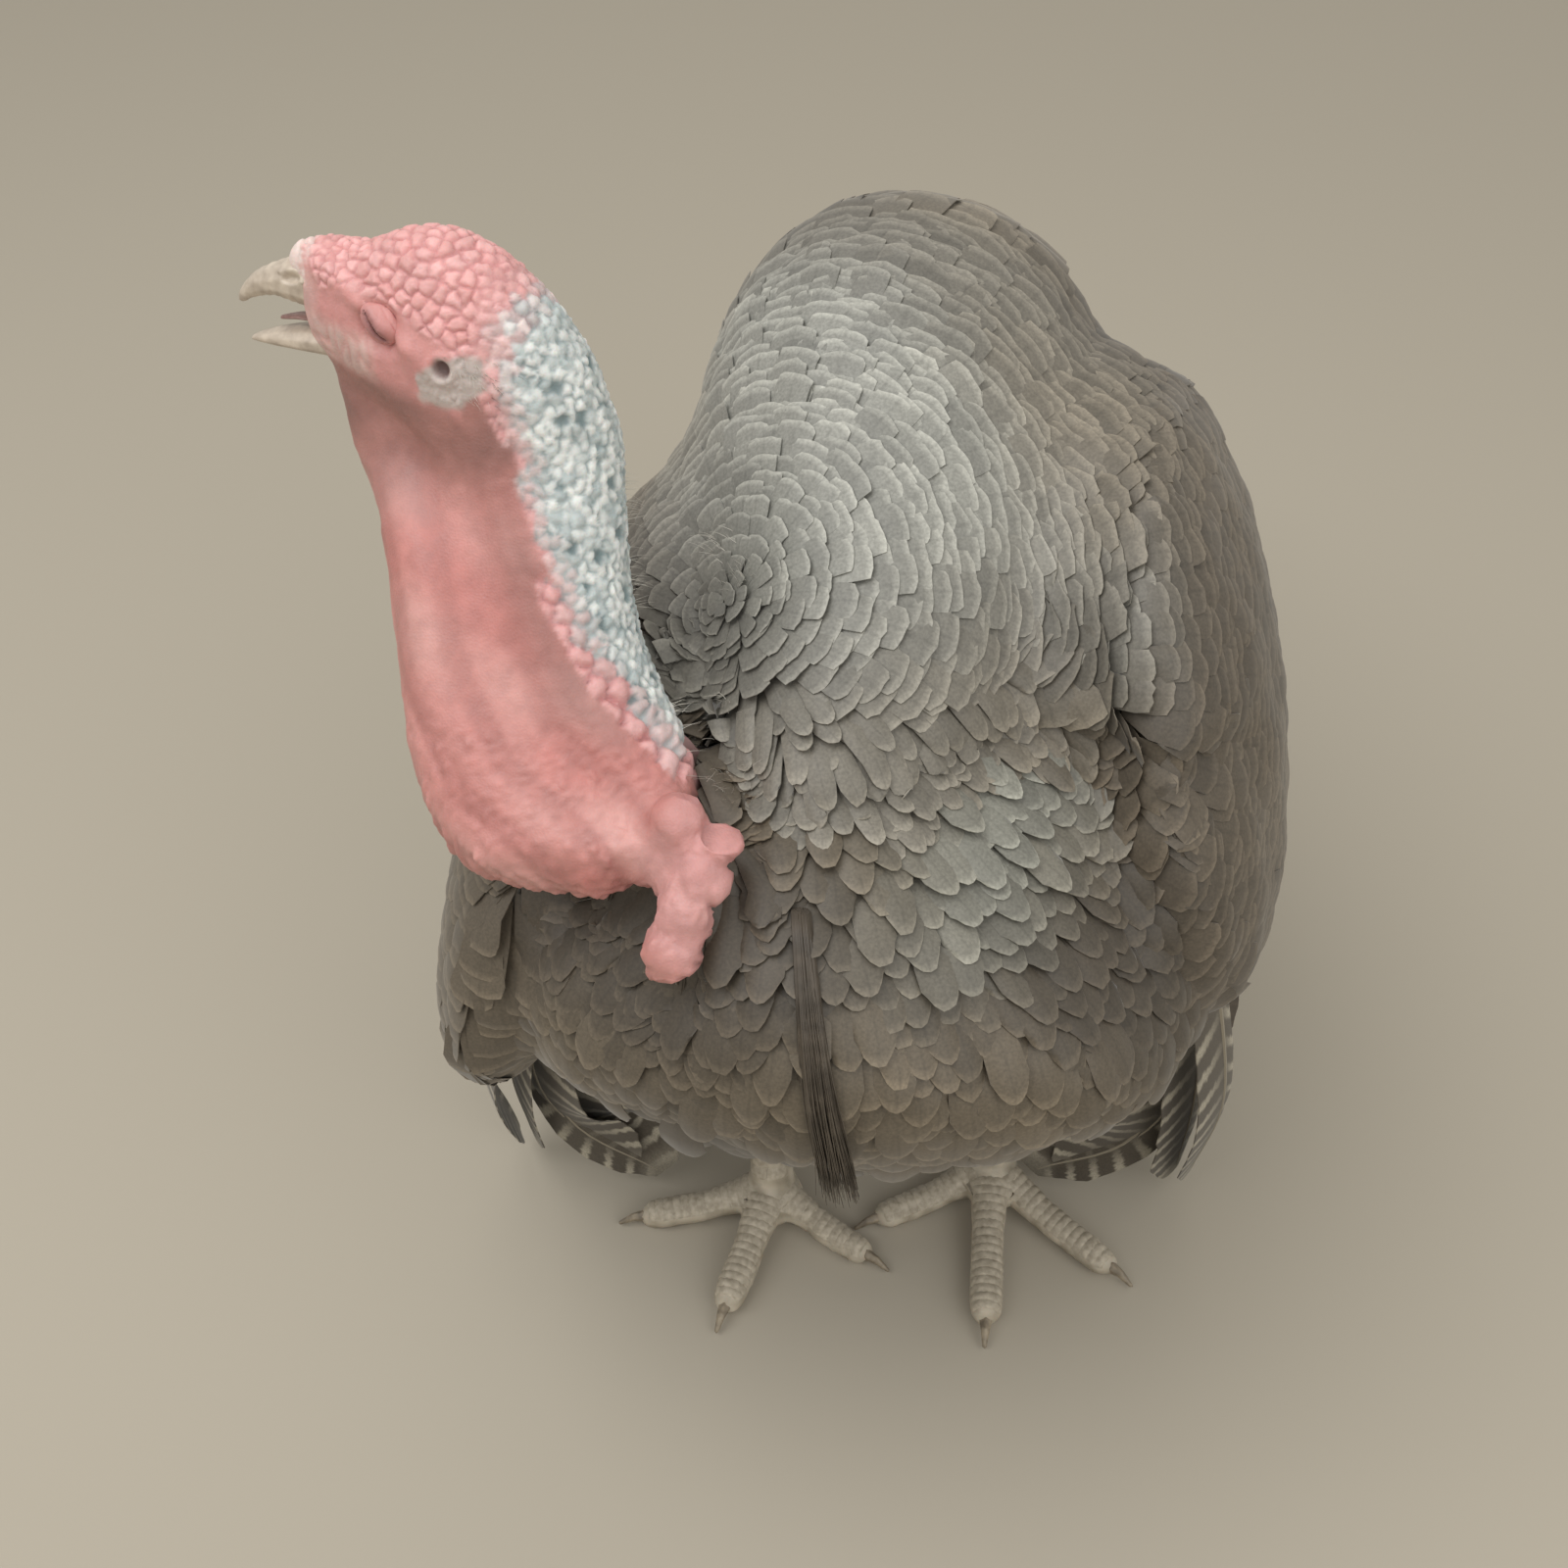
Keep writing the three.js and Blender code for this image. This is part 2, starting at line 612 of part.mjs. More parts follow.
const spurShape = (leg, grow) => {
  const [x, y, z] = leg.joint.map((j, k) => mix(j, leg.hock[k], 0.34));
  const base = V(x - leg.side * 6, y + 4, z);
  return limb({
    path: [base, base.clone().add(V(-leg.side * 5, 9, -1)), base.clone().add(V(-leg.side * 7, 15, 3))]
      .map((p) => p.toArray()),
    across: [0, 0, 1],
    sizes: (t) => [mix(5, 1.2, t), mix(4.6, 1.2, t)],
    sides: 6, steps: 2, ends: [1, 1.5], grow,
  });
};

const floorCut = block([-400, -400, -40], [400, 400, 0]);

// The pad under the joint of the toes, flat where it bears on the ground.
const padShape = (leg, grow) => egg(
  [leg.joint[0], leg.joint[1] - 2, 12], [15 + grow, 16 + grow, 13.5 + grow], [0, 0, 0], [8, 5],
);

function toePath(leg, name) {
  const root = V(leg.joint[0], leg.joint[1] - 2, 0);
  const tip = V(...leg.toes[name], 0);
  tip.addScaledVector(tip.clone().sub(root).normalize(), -CLAW_LENGTH);
  const at = (t, z) => root.clone().lerp(tip, t).setZ(z);
  const radius = TOE_RADII[name];
  return name === 'hallux'
    ? [at(0.1, 20), at(0.5, radius + 3), at(1, radius * 0.8)]
    : [at(0.02, 19), at(0.3, radius + 5), at(0.62, radius), at(1, radius * 0.74)];
}

const toeShape = (leg, name, grow) => limb({
  path: toePath(leg, name).map((p) => p.toArray()),
  across: [0, 0, 1],
  sizes: (t) => {
    const knuckle = 1 + 0.07 * Math.cos(t * Math.PI * 6);
    const size = TOE_RADII[name] * mix(1.12, 0.8, t) * knuckle;
    return [size, size];
  },
  sides: 6, steps: 4, ends: [1, TOE_RADII[name] * 0.5], grow,
});

function clawShape(leg, name, grow) {
  const path = toePath(leg, name);
  const tip = path[path.length - 1];
  const way = tip.clone().sub(path[path.length - 2]).setZ(0).normalize();
  const at = (t, z) => tip.clone().addScaledVector(way, t).setZ(z).toArray();
  const radius = TOE_RADII[name];
  return limb({
    path: [at(1, radius * 0.8), at(CLAW_LENGTH * 0.55, radius * 0.75), at(CLAW_LENGTH, 2.2)],
    across: [0, 0, 1],
    sizes: (t) => [mix(radius * 0.52, 1.1, t), mix(radius * 0.46, 1.2, t)],
    sides: 5, steps: 2, ends: [1, 1], grow,
  });
}

// ---------------------------------------------------------------- beard

const beardShape = (grow) => limb({
  path: [[0, -176, 350], [7, -195, 326], [14, -207, 294], [20, -208, 262], [23, -204, 238]],
  across: [1, 0, 0],
  sizes: (t) => [mix(5.5, 7.5, t), mix(4.5, 4, t)],
  sides: 8, steps: 6, ends: [3, 8], grow,
});

// ---------------------------------------------------------------- assembly

const turkey = new THREE.Group();

function addPiece(name, body, color, roughness = 0.7) {
  const whole = largest(body);
  const mesh = whole.getMesh();
  const geometry = new THREE.BufferGeometry();
  const positions = new Float32Array(mesh.numVert * 3);
  for (let i = 0; i < mesh.numVert; i += 1) {
    for (let k = 0; k < 3; k += 1) positions[i * 3 + k] = mesh.vertProperties[i * mesh.numProp + k];
  }
  geometry.setAttribute('position', new THREE.BufferAttribute(positions, 3));
  geometry.setIndex(new THREE.BufferAttribute(new Uint32Array(mesh.triVerts), 1));
  geometry.computeVertexNormals();
  const piece = new THREE.Mesh(geometry, finish(color, roughness));
  piece.name = name;
  turkey.add(piece);
}

const bodyRoom = bodyShape(GAP);
const trunk = trunkPieces();
addPiece('breast', trunk.breast, COLOURS.feather);
addPiece('belly', trunk.belly, COLOURS.feather);
addPiece('back', trunk.back, COLOURS.mantle);
addPiece('rump', trunk.rump, COLOURS.feather);

// head and neck: one long form, parted behind the ears
const sides = { left: 1, right: -1 };
const neckCut = onHead(-66, 0, 0);
const cutWay = forward.clone().multiplyScalar(0.9).addScaledVector(upward, 0.55).normalize();
function halfSpace(offset, direction) {
  const size = 800;
  const box = new THREE.BoxGeometry(size, size, size);
  box.translate(0, 0, size / 2);
  box.applyQuaternion(new THREE.Quaternion().setFromUnitVectors(V(0, 0, 1), direction));
  box.translate(...neckCut.clone().addScaledVector(cutWay, offset).toArray());
  return solid(box);
}
const headSide = halfSpace(GAP / 2, cutWay);
const neckSide = halfSpace(-GAP / 2, cutWay.clone().negate());
const headNeck = headNeckShape(0);
const headNeckRoom = headNeckShape(GAP);
const billRoom = [upperBillShape(GAP), lowerBillShape(GAP), tongueShape(GAP)];
const eyeRoom = Object.values(sides).map((side) => eyeShape(side, GAP));
const orbits = Object.values(sides).map((side) => orbitShape(side));
const earRoom = Object.values(sides).map((side) => earShape(side, GAP));

const faceRoom = [...billRoom, ...eyeRoom, ...orbits, ...earRoom, snoodShape(GAP)];

addPiece('head', cut(headNeck.intersect(headSide), ...faceRoom), COLOURS.crown);
addPiece('neck', cut(headNeck.intersect(neckSide), bodyRoom, ...earRoom), COLOURS.nape);
addPiece('dewlap', cut(dewlapShape(0), headNeckRoom, bodyRoom, ...billRoom), COLOURS.wattle);
addPiece('caruncles', cut(carunclesShape(0), headNeckRoom, dewlapShape(GAP), bodyRoom), COLOURS.wattle);
addPiece('snood', cut(snoodShape(0), upperBillShape(GAP)), COLOURS.crown);
addPiece('bill_upper', upperBillShape(0), COLOURS.horn, 0.4);
addPiece('bill_lower', cut(lowerBillShape(0), upperBillShape(GAP)), COLOURS.horn, 0.4);
addPiece('tongue', cut(tongueShape(0), upperBillShape(GAP), lowerBillShape(GAP)), COLOURS.tongue, 0.5);
Object.entries(sides).forEach(([name, side]) => {
  addPiece(`eye_${name}`, eyeShape(side, 0), COLOURS.eye, 0.1);
  addPiece(`ear_${name}`, earShape(side, 0), COLOURS.ear);
});

// wings
Object.entries(WINGS).forEach(([name, wing]) => {
  const room = wingShape(wing, GAP);
  const primaries = cut(primariesShape(wing), room, bodyRoom);
  const wingBody = cut(wingShape(wing, 0), bodyRoom, headNeckRoom, dewlapShape(GAP));
  addPiece(`wing_${name}`, wingBody, COLOURS.feather);
  addPiece(`primaries_${name}`, primaries, COLOURS.vane);
  addPiece(`secondaries_${name}`, cut(secondariesShape(wing), room, bodyRoom), COLOURS.vane);
});

// tail
const covertsRoom = tailCovertsShape(GAP);
addPiece('tail_coverts', cut(tailCovertsShape(0), bodyRoom), COLOURS.feather);
addPiece('tail_fan', cut(tailShape(), bodyRoom, covertsRoom), COLOURS.vane);

// legs
Object.entries(FEET).forEach(([name, leg]) => {
  const shankRoom = shankShape(leg, GAP);
  const padRoom = padShape(leg, GAP);
  addPiece(`thigh_${name}`, cut(thighShape(leg, 0), bodyRoom, shankRoom), COLOURS.feather);
  addPiece(`shank_${name}`, cut(shankShape(leg, 0), bodyRoom, spurShape(leg, GAP)), COLOURS.scale);
  addPiece(`spur_${name}`, spurShape(leg, 0), COLOURS.horn);
  addPiece(`foot_pad_${name}`, cut(padShape(leg, 0), shankRoom, floorCut), COLOURS.scale);
  const taken = [padRoom, shankRoom, floorCut];
  Object.keys(leg.toes).forEach((toe) => {
    const room = toeShape(leg, toe, GAP);
    addPiece(`toe_${toe}_${name}`, cut(toeShape(leg, toe, 0), ...taken), COLOURS.scale);
    addPiece(`claw_${toe}_${name}`, cut(clawShape(leg, toe, 0), room, floorCut), COLOURS.claw, 0.5);
    taken.push(room);
  });
});

addPiece('beard', cut(beardShape(0), bodyRoom), COLOURS.beard);

// The origin is the middle of the model's footprint, at the level of the soles.
const bounds = new THREE.Box3().setFromObject(turkey);
turkey.position.set(-(bounds.min.x + bounds.max.x) / 2, -(bounds.min.y + bounds.max.y) / 2, -bounds.min.z);

export default turkey;
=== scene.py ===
"""A standing turkey tom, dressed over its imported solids.

One skin covers the flesh, vanes of every size lie over it from the neck down, and the head, bill, eyes,
beard, quills and feet are modelled as pieces of their own. Lengths in the classes are millimetres in the
bird's own frame: mid-plane x = 0, the bird faces -Y, its left side is +X, soles at z = 0.
"""

import heapq
import logging
import math
from dataclasses import dataclass, field
from enum import Enum
from typing import Callable

import bmesh
import bpy
import numpy as np
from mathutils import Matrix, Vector
from mathutils.bvhtree import BVHTree
from mathutils.kdtree import KDTree


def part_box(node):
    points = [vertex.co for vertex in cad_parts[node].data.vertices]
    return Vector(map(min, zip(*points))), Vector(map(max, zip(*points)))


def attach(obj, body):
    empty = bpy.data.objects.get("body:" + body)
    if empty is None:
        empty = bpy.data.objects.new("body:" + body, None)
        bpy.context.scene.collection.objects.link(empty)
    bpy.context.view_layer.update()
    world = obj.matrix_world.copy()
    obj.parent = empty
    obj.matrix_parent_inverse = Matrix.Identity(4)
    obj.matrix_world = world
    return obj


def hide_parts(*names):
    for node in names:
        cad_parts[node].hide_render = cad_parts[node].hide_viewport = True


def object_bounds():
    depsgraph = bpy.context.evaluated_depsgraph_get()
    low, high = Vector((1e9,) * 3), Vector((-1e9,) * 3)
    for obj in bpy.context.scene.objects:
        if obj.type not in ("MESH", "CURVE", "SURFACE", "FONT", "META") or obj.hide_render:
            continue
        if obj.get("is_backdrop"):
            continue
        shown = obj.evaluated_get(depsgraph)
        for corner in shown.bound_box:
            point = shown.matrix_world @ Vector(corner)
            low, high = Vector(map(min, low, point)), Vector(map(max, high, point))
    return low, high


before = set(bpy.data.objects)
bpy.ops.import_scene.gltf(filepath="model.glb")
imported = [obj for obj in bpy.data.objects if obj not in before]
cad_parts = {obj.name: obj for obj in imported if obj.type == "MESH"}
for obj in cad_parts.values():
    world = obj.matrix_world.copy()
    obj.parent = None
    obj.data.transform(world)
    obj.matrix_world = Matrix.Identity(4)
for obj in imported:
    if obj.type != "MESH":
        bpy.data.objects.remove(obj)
CAD_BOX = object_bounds()

logging.basicConfig(level=logging.INFO, format="%(message)s")
log = logging.getLogger("turkey")

MM = 0.001
SEED = 71

Array = np.ndarray
Piece = bpy.types.Object
Material = bpy.types.Material
Socket = bpy.types.NodeSocket
Point = tuple[float, float, float]
Pair = tuple[float, float]
Rng = np.random.Generator


# ---------------------------------------------------------------- kit


def linear(hex_colour: str) -> tuple[float, float, float, float]:
    """Turns an sRGB hex colour into linear RGBA.

    Args:
        hex_colour: six digits.

    Returns:
        Red, green, blue and 1.
    """
    channels = [int(hex_colour[i:i + 2], 16) / 255 for i in (0, 2, 4)]
    bent = [c / 12.92 if c <= 0.04045 else ((c + 0.055) / 1.055) ** 2.4 for c in channels]
    return (*bent, 1.0)


def rgb(hex_colour: str) -> Array:
    """The three linear channels of a hex colour."""
    return np.array(linear(hex_colour)[:3])


def ramp(low: float, high: float, value: Array) -> Array:
    """Eases from 0 at low to 1 at high."""
    t = np.clip((value - low) / (high - low), 0.0, 1.0)
    return t * t * (3 - 2 * t)


def unit(vectors: Array) -> Array:
    """Vectors scaled to length 1."""
    return vectors / np.maximum(np.linalg.norm(vectors, axis=-1, keepdims=True), 1e-9)


def blend(a: Array, b: Array, share: Array) -> Array:
    """Mixes colours a and b, point by point."""
    share = np.asarray(share)[..., None]
    return a * (1 - share) + b * share


def tree_of(points: Array) -> KDTree:
    """Puts points in a tree that finds the nearest ones.

    Args:
        points: rows of x, y and z.

    Returns:
        The tree.
    """
    tree = KDTree(len(points))
    for i, point in enumerate(points):
        tree.insert(point, i)
    tree.balance()
    return tree


def bell(value: Array, middle: float, width: float) -> Array:
    """A smooth bump: 1 at the middle, about a third of that a width away."""
    return np.exp(-((value - middle) / width) ** 2)


def axes_along(line: Array, facing: Array, axis: int = 0) -> tuple[Array, Array, Array]:
    """Finds the directions at the points of lines that face a given way.

    Args:
        line: points, x, y and z last.
        facing: the way their upper side faces.
        axis: the array axis that runs along a line.

    Returns:
        Unit vectors along, aside and up.
    """
    along = unit(np.gradient(line, axis=axis))
    side = unit(np.cross(along, facing))
    return along, side, np.cross(side, along)


@dataclass(frozen=True)
class BirdFrame:
    """The bird's own frame, placed by the pad of its left foot.

    Args:
        pad_centre: where that pad's middle lies in the bird's frame, x and y.
    """

    pad_centre: Pair = (71.0, 4.0)

    def origin(self) -> Array:
        """Finds the bird's own origin in the row frame.

        Returns:
            Row metres.
        """
        low, high = (np.array(c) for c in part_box("foot_pad_left"))
        middle = (low + high) / 2
        return np.array([middle[0] - self.pad_centre[0] * MM, middle[1] - self.pad_centre[1] * MM, 0.0])

    def place(self, points: Array) -> Array:
        """Bird millimetres to row metres."""
        return np.asarray(points, float) * MM + self.origin()

    def read(self, points: Array) -> Array:
        """Row metres to bird millimetres."""
        return (np.asarray(points, float) - self.origin()) / MM


BIRD = BirdFrame()


@dataclass(frozen=True)
class HeadFrame:
    """The head's own frame: ahead along the bill, to the bird's left, and up, from the gape's middle.

    Args:
        origin: the gape's middle in the bird's frame.
        yaw: how far the bill is turned from straight across, radians.
        pitch: how far it points up, radians.
        eye: the left eyeball's middle, in this frame.
        eye_radius: of the eyeballs, mm.
    """

    origin: Point = (-176.0, -70.0, 503.0)
    yaw: float = 0.157
    pitch: float = 0.105
    eye: Point = (-28.0, 14.6, 11.5)
    eye_radius: float = 5.6

    def axes(self) -> Array:
        """Works out the frame's directions in the bird's frame.

        Returns:
            Rows: ahead, left, up.
        """
        ahead = np.array([
            -math.cos(self.yaw) * math.cos(self.pitch),
            math.sin(self.yaw) * math.cos(self.pitch),
            math.sin(self.pitch),
        ])
        left = unit(np.cross([0, 0, 1], ahead))
        return np.array([ahead, left, np.cross(ahead, left)])

    def read(self, bird: Array) -> Array:
        """Bird millimetres to (ahead, left, up) millimetres."""
        return (bird - np.array(self.origin)) @ self.axes().T

    def place(self, local: Array) -> Array:
        """(ahead, left, up) to row metres."""
        return BIRD.place(np.asarray(local, float) @ self.axes() + np.array(self.origin))


HEAD = HeadFrame()


@dataclass(frozen=True)
class Zone:
    """A rounded region of the bird.

    Args:
        middle: bird's frame.
        radii: along each axis, mm.
    """

    middle: Point
    radii: Point

    def reach(self, mm: Array) -> Array:
        """How far out places lie, 1 on the zone's edge."""
        return np.linalg.norm((mm - np.array(self.middle)) / self.radii, axis=1)


@dataclass(frozen=True)
class NeckLine:
    """The neck's run from behind the crown to the shoulders, bird's frame.

    Args:
        nape: points down the back of the neck.
        throat: points down its front.
        border: how far towards the nape, from -1 at the throat to 1, the white skin starts beside them.
    """

    nape: tuple = (
        (-78, -84, 484), (-74, -92, 452), (-70, -100, 422),
        (-60, -108, 396), (-42, -110, 374), (-14, -94, 360),
    )
    throat: tuple = (
        (-138, -77, 440), (-137, -92, 422), (-132, -108, 404),
        (-120, -126, 380), (-92, -142, 350), (-50, -138, 318),
    )
    border: tuple = (0.27, 0.40, 0.55, 0.62, 0.62, 0.62)

    def read(self, mm: Array) -> tuple[Array, Array]:
        """Finds where places lie on the neck.

        Args:
            mm: places, bird's frame.

        Returns:
            How far towards the nape, -1 to 1, and how far past the white skin's border.
        """
        head = HEAD.place(np.array([(-40, 0, 42), (-62, 0, 37), (-84, 0, 20)]))
        jaw = HEAD.place(np.array([(-24, 0, -29), (-34, 0, -38), (-40, 0, -46)]))
        nape = np.concatenate([BIRD.read(head), np.array(self.nape, float)])
        throat = np.concatenate([BIRD.read(jaw), np.array(self.throat, float)])
        border = np.array([0.3, 0.3, 0.33, *self.border])
        knots = np.arange(len(nape))
        fine = np.linspace(0, len(nape) - 1, 90)
        one, two = (
            np.stack([np.interp(fine, knots, line[:, k]) for k in range(3)], 1) for line in (nape, throat)
        )
        middle, half = (one + two) / 2, (one - two) / 2
        tree = tree_of(middle)
        near = np.array([tree.find(p)[1] for p in mm])
        along = np.sum((mm - middle[near]) * half[near], 1) / np.sum(half[near] ** 2, 1)
        return along, along - np.interp(fine[near], knots, border)


NECK = NeckLine()


def mesh_piece(name: str, points: Array, faces: Array) -> Piece:
    """Makes an object of equal-sided faces from arrays.

    Args:
        name: the piece's name.
        points: (n, 3) metres in the row frame.
        faces: (m, corners) indices.

    Returns:
        The new object, at the origin.
    """
    mesh = bpy.data.meshes.new(name)
    mesh.vertices.add(len(points))
    mesh.vertices.foreach_set("co", np.asarray(points, np.float32).ravel())
    mesh.loops.add(faces.size)
    mesh.loops.foreach_set("vertex_index", faces.ravel().astype(np.int32))
    mesh.polygons.add(len(faces))
    mesh.polygons.foreach_set("loop_start", np.arange(0, faces.size, faces.shape[1], dtype=np.int32))
    mesh.update(calc_edges=True)
    mesh.validate()
    piece = bpy.data.objects.new(name, mesh)
    bpy.context.collection.objects.link(piece)
    return piece


def gather(items: bpy.types.bpy_prop_collection, name: str, width: int, kind: type = np.float32) -> Array:
    """Reads one property of a mesh's items.

    Args:
        items: vertices, edges, loops or the items of a layer.
        name: the property.
        width: values in a row.
        kind: of the values.

    Returns:
        A row for each item.
    """
    values = np.empty(len(items) * width, kind)
    items.foreach_get(name, values)
    return values.reshape(-1, width)


def points_of(piece: Piece) -> Array:
    """A piece's vertices, row metres."""
    return gather(piece.data.vertices, "co", 3).astype(float)


def normals_of(piece: Piece) -> Array:
    """A piece's vertex normals."""
    return gather(piece.data.vertices, "normal", 3).astype(float)


def edges_of(piece: Piece) -> Array:
    """A piece's edges as index pairs."""
    return gather(piece.data.edges, "vertices", 2, np.int32)


def move_points(piece: Piece, points: Array) -> None:
    """Puts a piece's vertices at new places."""
    piece.data.vertices.foreach_set("co", points.astype(np.float32).ravel())
    piece.data.update()


def paint(piece: Piece, name: str, colours: Array) -> None:
    """Stores a colour on each vertex.

    Args:
        piece: the piece.
        name: of the colour attribute.
        colours: linear red, green and blue rows.
    """
    layer = piece.data.color_attributes.new(name, "FLOAT_COLOR", "POINT")
    rows = np.ones((len(colours), 4), np.float32)
    rows[:, :3] = colours
    layer.data.foreach_set("color", rows.ravel())


def unwrap(piece: Piece, name: str, places: Array) -> None:
    """Gives a piece a UV map that holds one place for each vertex.

    Args:
        piece: the piece.
        name: of the map.
        places: a row for each vertex.
    """
    corners = gather(piece.data.loops, "vertex_index", 1, np.int32)[:, 0]
    layer = piece.data.uv_layers.new(name=name)
    layer.data.foreach_set("uv", places[corners].astype(np.float32).ravel())


def select_only(*pieces: Piece) -> None:
    """Selects these pieces and nothing else.

    Args:
        pieces: what to select, the active one first.
    """
    bpy.ops.object.select_all(action="DESELECT")
    for piece in pieces:
        piece.select_set(True)
    bpy.context.view_layer.objects.active = pieces[0]


def edit_all(piece: Piece, operator: Callable, **settings) -> None:
    """Runs an edit mode operator on the whole of a piece.

    Args:
        piece: the piece.
        operator: the operator.
        settings: its keywords.
    """
    select_only(piece)
    bpy.ops.object.mode_set(mode="EDIT")
    bpy.ops.mesh.select_all(action="SELECT")
    operator(**settings)
    bpy.ops.object.mode_set(mode="OBJECT")


def close_up(piece: Piece, crease: float) -> None:
    """Turns a piece's faces outward and smooths the edges flatter than a crease, degrees."""
    edit_all(piece, bpy.ops.mesh.normals_make_consistent, inside=False)
    bpy.ops.object.shade_smooth_by_angle(angle=math.radians(crease))


def copy_of(name: str, nodes: list[str]) -> Piece:
    """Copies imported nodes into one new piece, with the loose triangles merged.

    Args:
        name: of the new piece.
        nodes: the nodes.

    Returns:
        The new piece.
    """
    copies = []
    for node in nodes:
        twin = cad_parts[node].copy()
        twin.data = twin.data.copy()
        bpy.context.collection.objects.link(twin)
        twin.parent = None
        copies.append(twin)
    select_only(*copies)
    if len(copies) > 1:
        bpy.ops.object.join()
    piece = bpy.context.view_layer.objects.active
    piece.name = piece.data.name = name
    piece.data.materials.clear()
    work = bmesh.new()
    work.from_mesh(piece.data)
    bmesh.ops.remove_doubles(work, verts=work.verts, dist=0.02 * MM)
    work.to_mesh(piece.data)
    work.free()
    return piece


def apply_modifier(piece: Piece, kind: str, **settings) -> None:
    """Adds a modifier with its settings and applies it.

    Args:
        piece: the piece.
        kind: the modifier's type.
        settings: its properties.
    """
    select_only(piece)
    modifier = piece.modifiers.new(kind.title(), kind)
    for key, value in settings.items():
        setattr(modifier, key, value)
    bpy.ops.object.modifier_apply(modifier=modifier.name)


def relax(values: Array, edges: Array, steps: int, strength: Array | float = 1.0,
          pull: float = 0.63, push: float = -0.67) -> Array:
    """Smooths values over a mesh: each pair of steps pulls in and pushes back, so volume stays.

    Args:
        values: (n, k) one row for each vertex.
        edges: index pairs.
        steps: how many pairs of steps.
        strength: how much each vertex takes part.
        pull: share moved towards the neighbours' mean.
        push: share moved back.

    Returns:
        The smoothed rows.
    """
    values = values.astype(float).copy()
    count = np.bincount(edges.ravel(), minlength=len(values))[:, None]
    strength = np.broadcast_to(np.asarray(strength, float), (len(values),))[:, None]
    for _ in range(steps):
        for share in (pull, push):
            total = np.zeros_like(values)
            for k in range(values.shape[1]):
                total[:, k] = (
                    np.bincount(edges[:, 0], values[edges[:, 1], k], len(values))
                    + np.bincount(edges[:, 1], values[edges[:, 0], k], len(values))
                )
            values += share * strength * (total / np.maximum(count, 1) - values)
    return values


def slab_faces(rows: int, columns: int) -> Array:
    """Makes the quads of a closed slab between two grids of points.

    Args:
        rows: of points in each grid.
        columns: of points in each grid.

    Returns:
        Corners of the quads, as indices into the upper and then the under grid.
    """
    grid = np.arange(rows * columns).reshape(rows, columns)
    under = grid + rows * columns
    quads = []
    for r in range(rows - 1):
        for c in range(columns - 1):
            quads.append([grid[r, c], grid[r, c + 1], grid[r + 1, c + 1], grid[r + 1, c]])
            quads.append([under[r, c], under[r + 1, c], under[r + 1, c + 1], under[r, c + 1]])
    for r in range(rows - 1):
        quads.append([grid[r + 1, 0], under[r + 1, 0], under[r, 0], grid[r, 0]])
        quads.append([grid[r, -1], under[r, -1], under[r + 1, -1], grid[r + 1, -1]])
    for c in range(columns - 1):
        quads.append([grid[0, c], under[0, c], under[0, c + 1], grid[0, c + 1]])
        quads.append([grid[-1, c + 1], under[-1, c + 1], under[-1, c], grid[-1, c]])
    return np.array(quads)


def quad_normals(points: Array, quads: Array) -> Array:
    """Finds the outward directions at the points of a quad mesh.

    Args:
        points: of the mesh.
        quads: its faces.

    Returns:
        A unit vector for each point.
    """
    across = np.cross(points[quads[:, 2]] - points[quads[:, 0]], points[quads[:, 3]] - points[quads[:, 1]])
    total = np.zeros_like(points)
    for corner in range(4):
        for axis in range(3):
            total[:, axis] += np.bincount(quads[:, corner], across[:, axis], len(points))
    return unit(total)


def surface_of(meshes: list[bpy.types.Mesh]) -> BVHTree:
    """Makes one surface of some meshes, to find places on.

    Args:
        meshes: the meshes.

    Returns:
        Their surface.
    """
    work = bmesh.new()
    for mesh in meshes:
        work.from_mesh(mesh)
    tree = BVHTree.FromBMesh(work)
    work.free()
    return tree


def away_from(nodes: list[str], points: Array, most: float = 60.0) -> Array:
    """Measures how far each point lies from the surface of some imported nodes.

    Args:
        nodes: the nodes.
        points: row metres.
        most: the largest answer.

    Returns:
        Millimetres.
    """
    tree = surface_of([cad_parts[node].data for node in nodes])
    far = [tree.find_nearest(p, most * MM)[3] for p in points]
    return np.array([most if d is None else d / MM for d in far])


def keep_largest(piece: Piece) -> None:
    """Deletes every loose shell but the largest.

    Args:
        piece: the piece.
    """
    edges = edges_of(piece)
    label = np.arange(len(piece.data.vertices))
    while True:
        low = np.minimum(label[edges[:, 0]], label[edges[:, 1]])
        new = label.copy()
        np.minimum.at(new, edges[:, 0], low)
        np.minimum.at(new, edges[:, 1], low)
        new = new[new]
        if (new == label).all():
            break
        label = new
    main = np.bincount(label).argmax()
    work = bmesh.new()
    work.from_mesh(piece.data)
    work.verts.ensure_lookup_table()
    stray = [work.verts[i] for i in np.nonzero(label != main)[0]]
    bmesh.ops.delete(work, geom=stray, context="VERTS")
    work.to_mesh(piece.data)
    work.free()


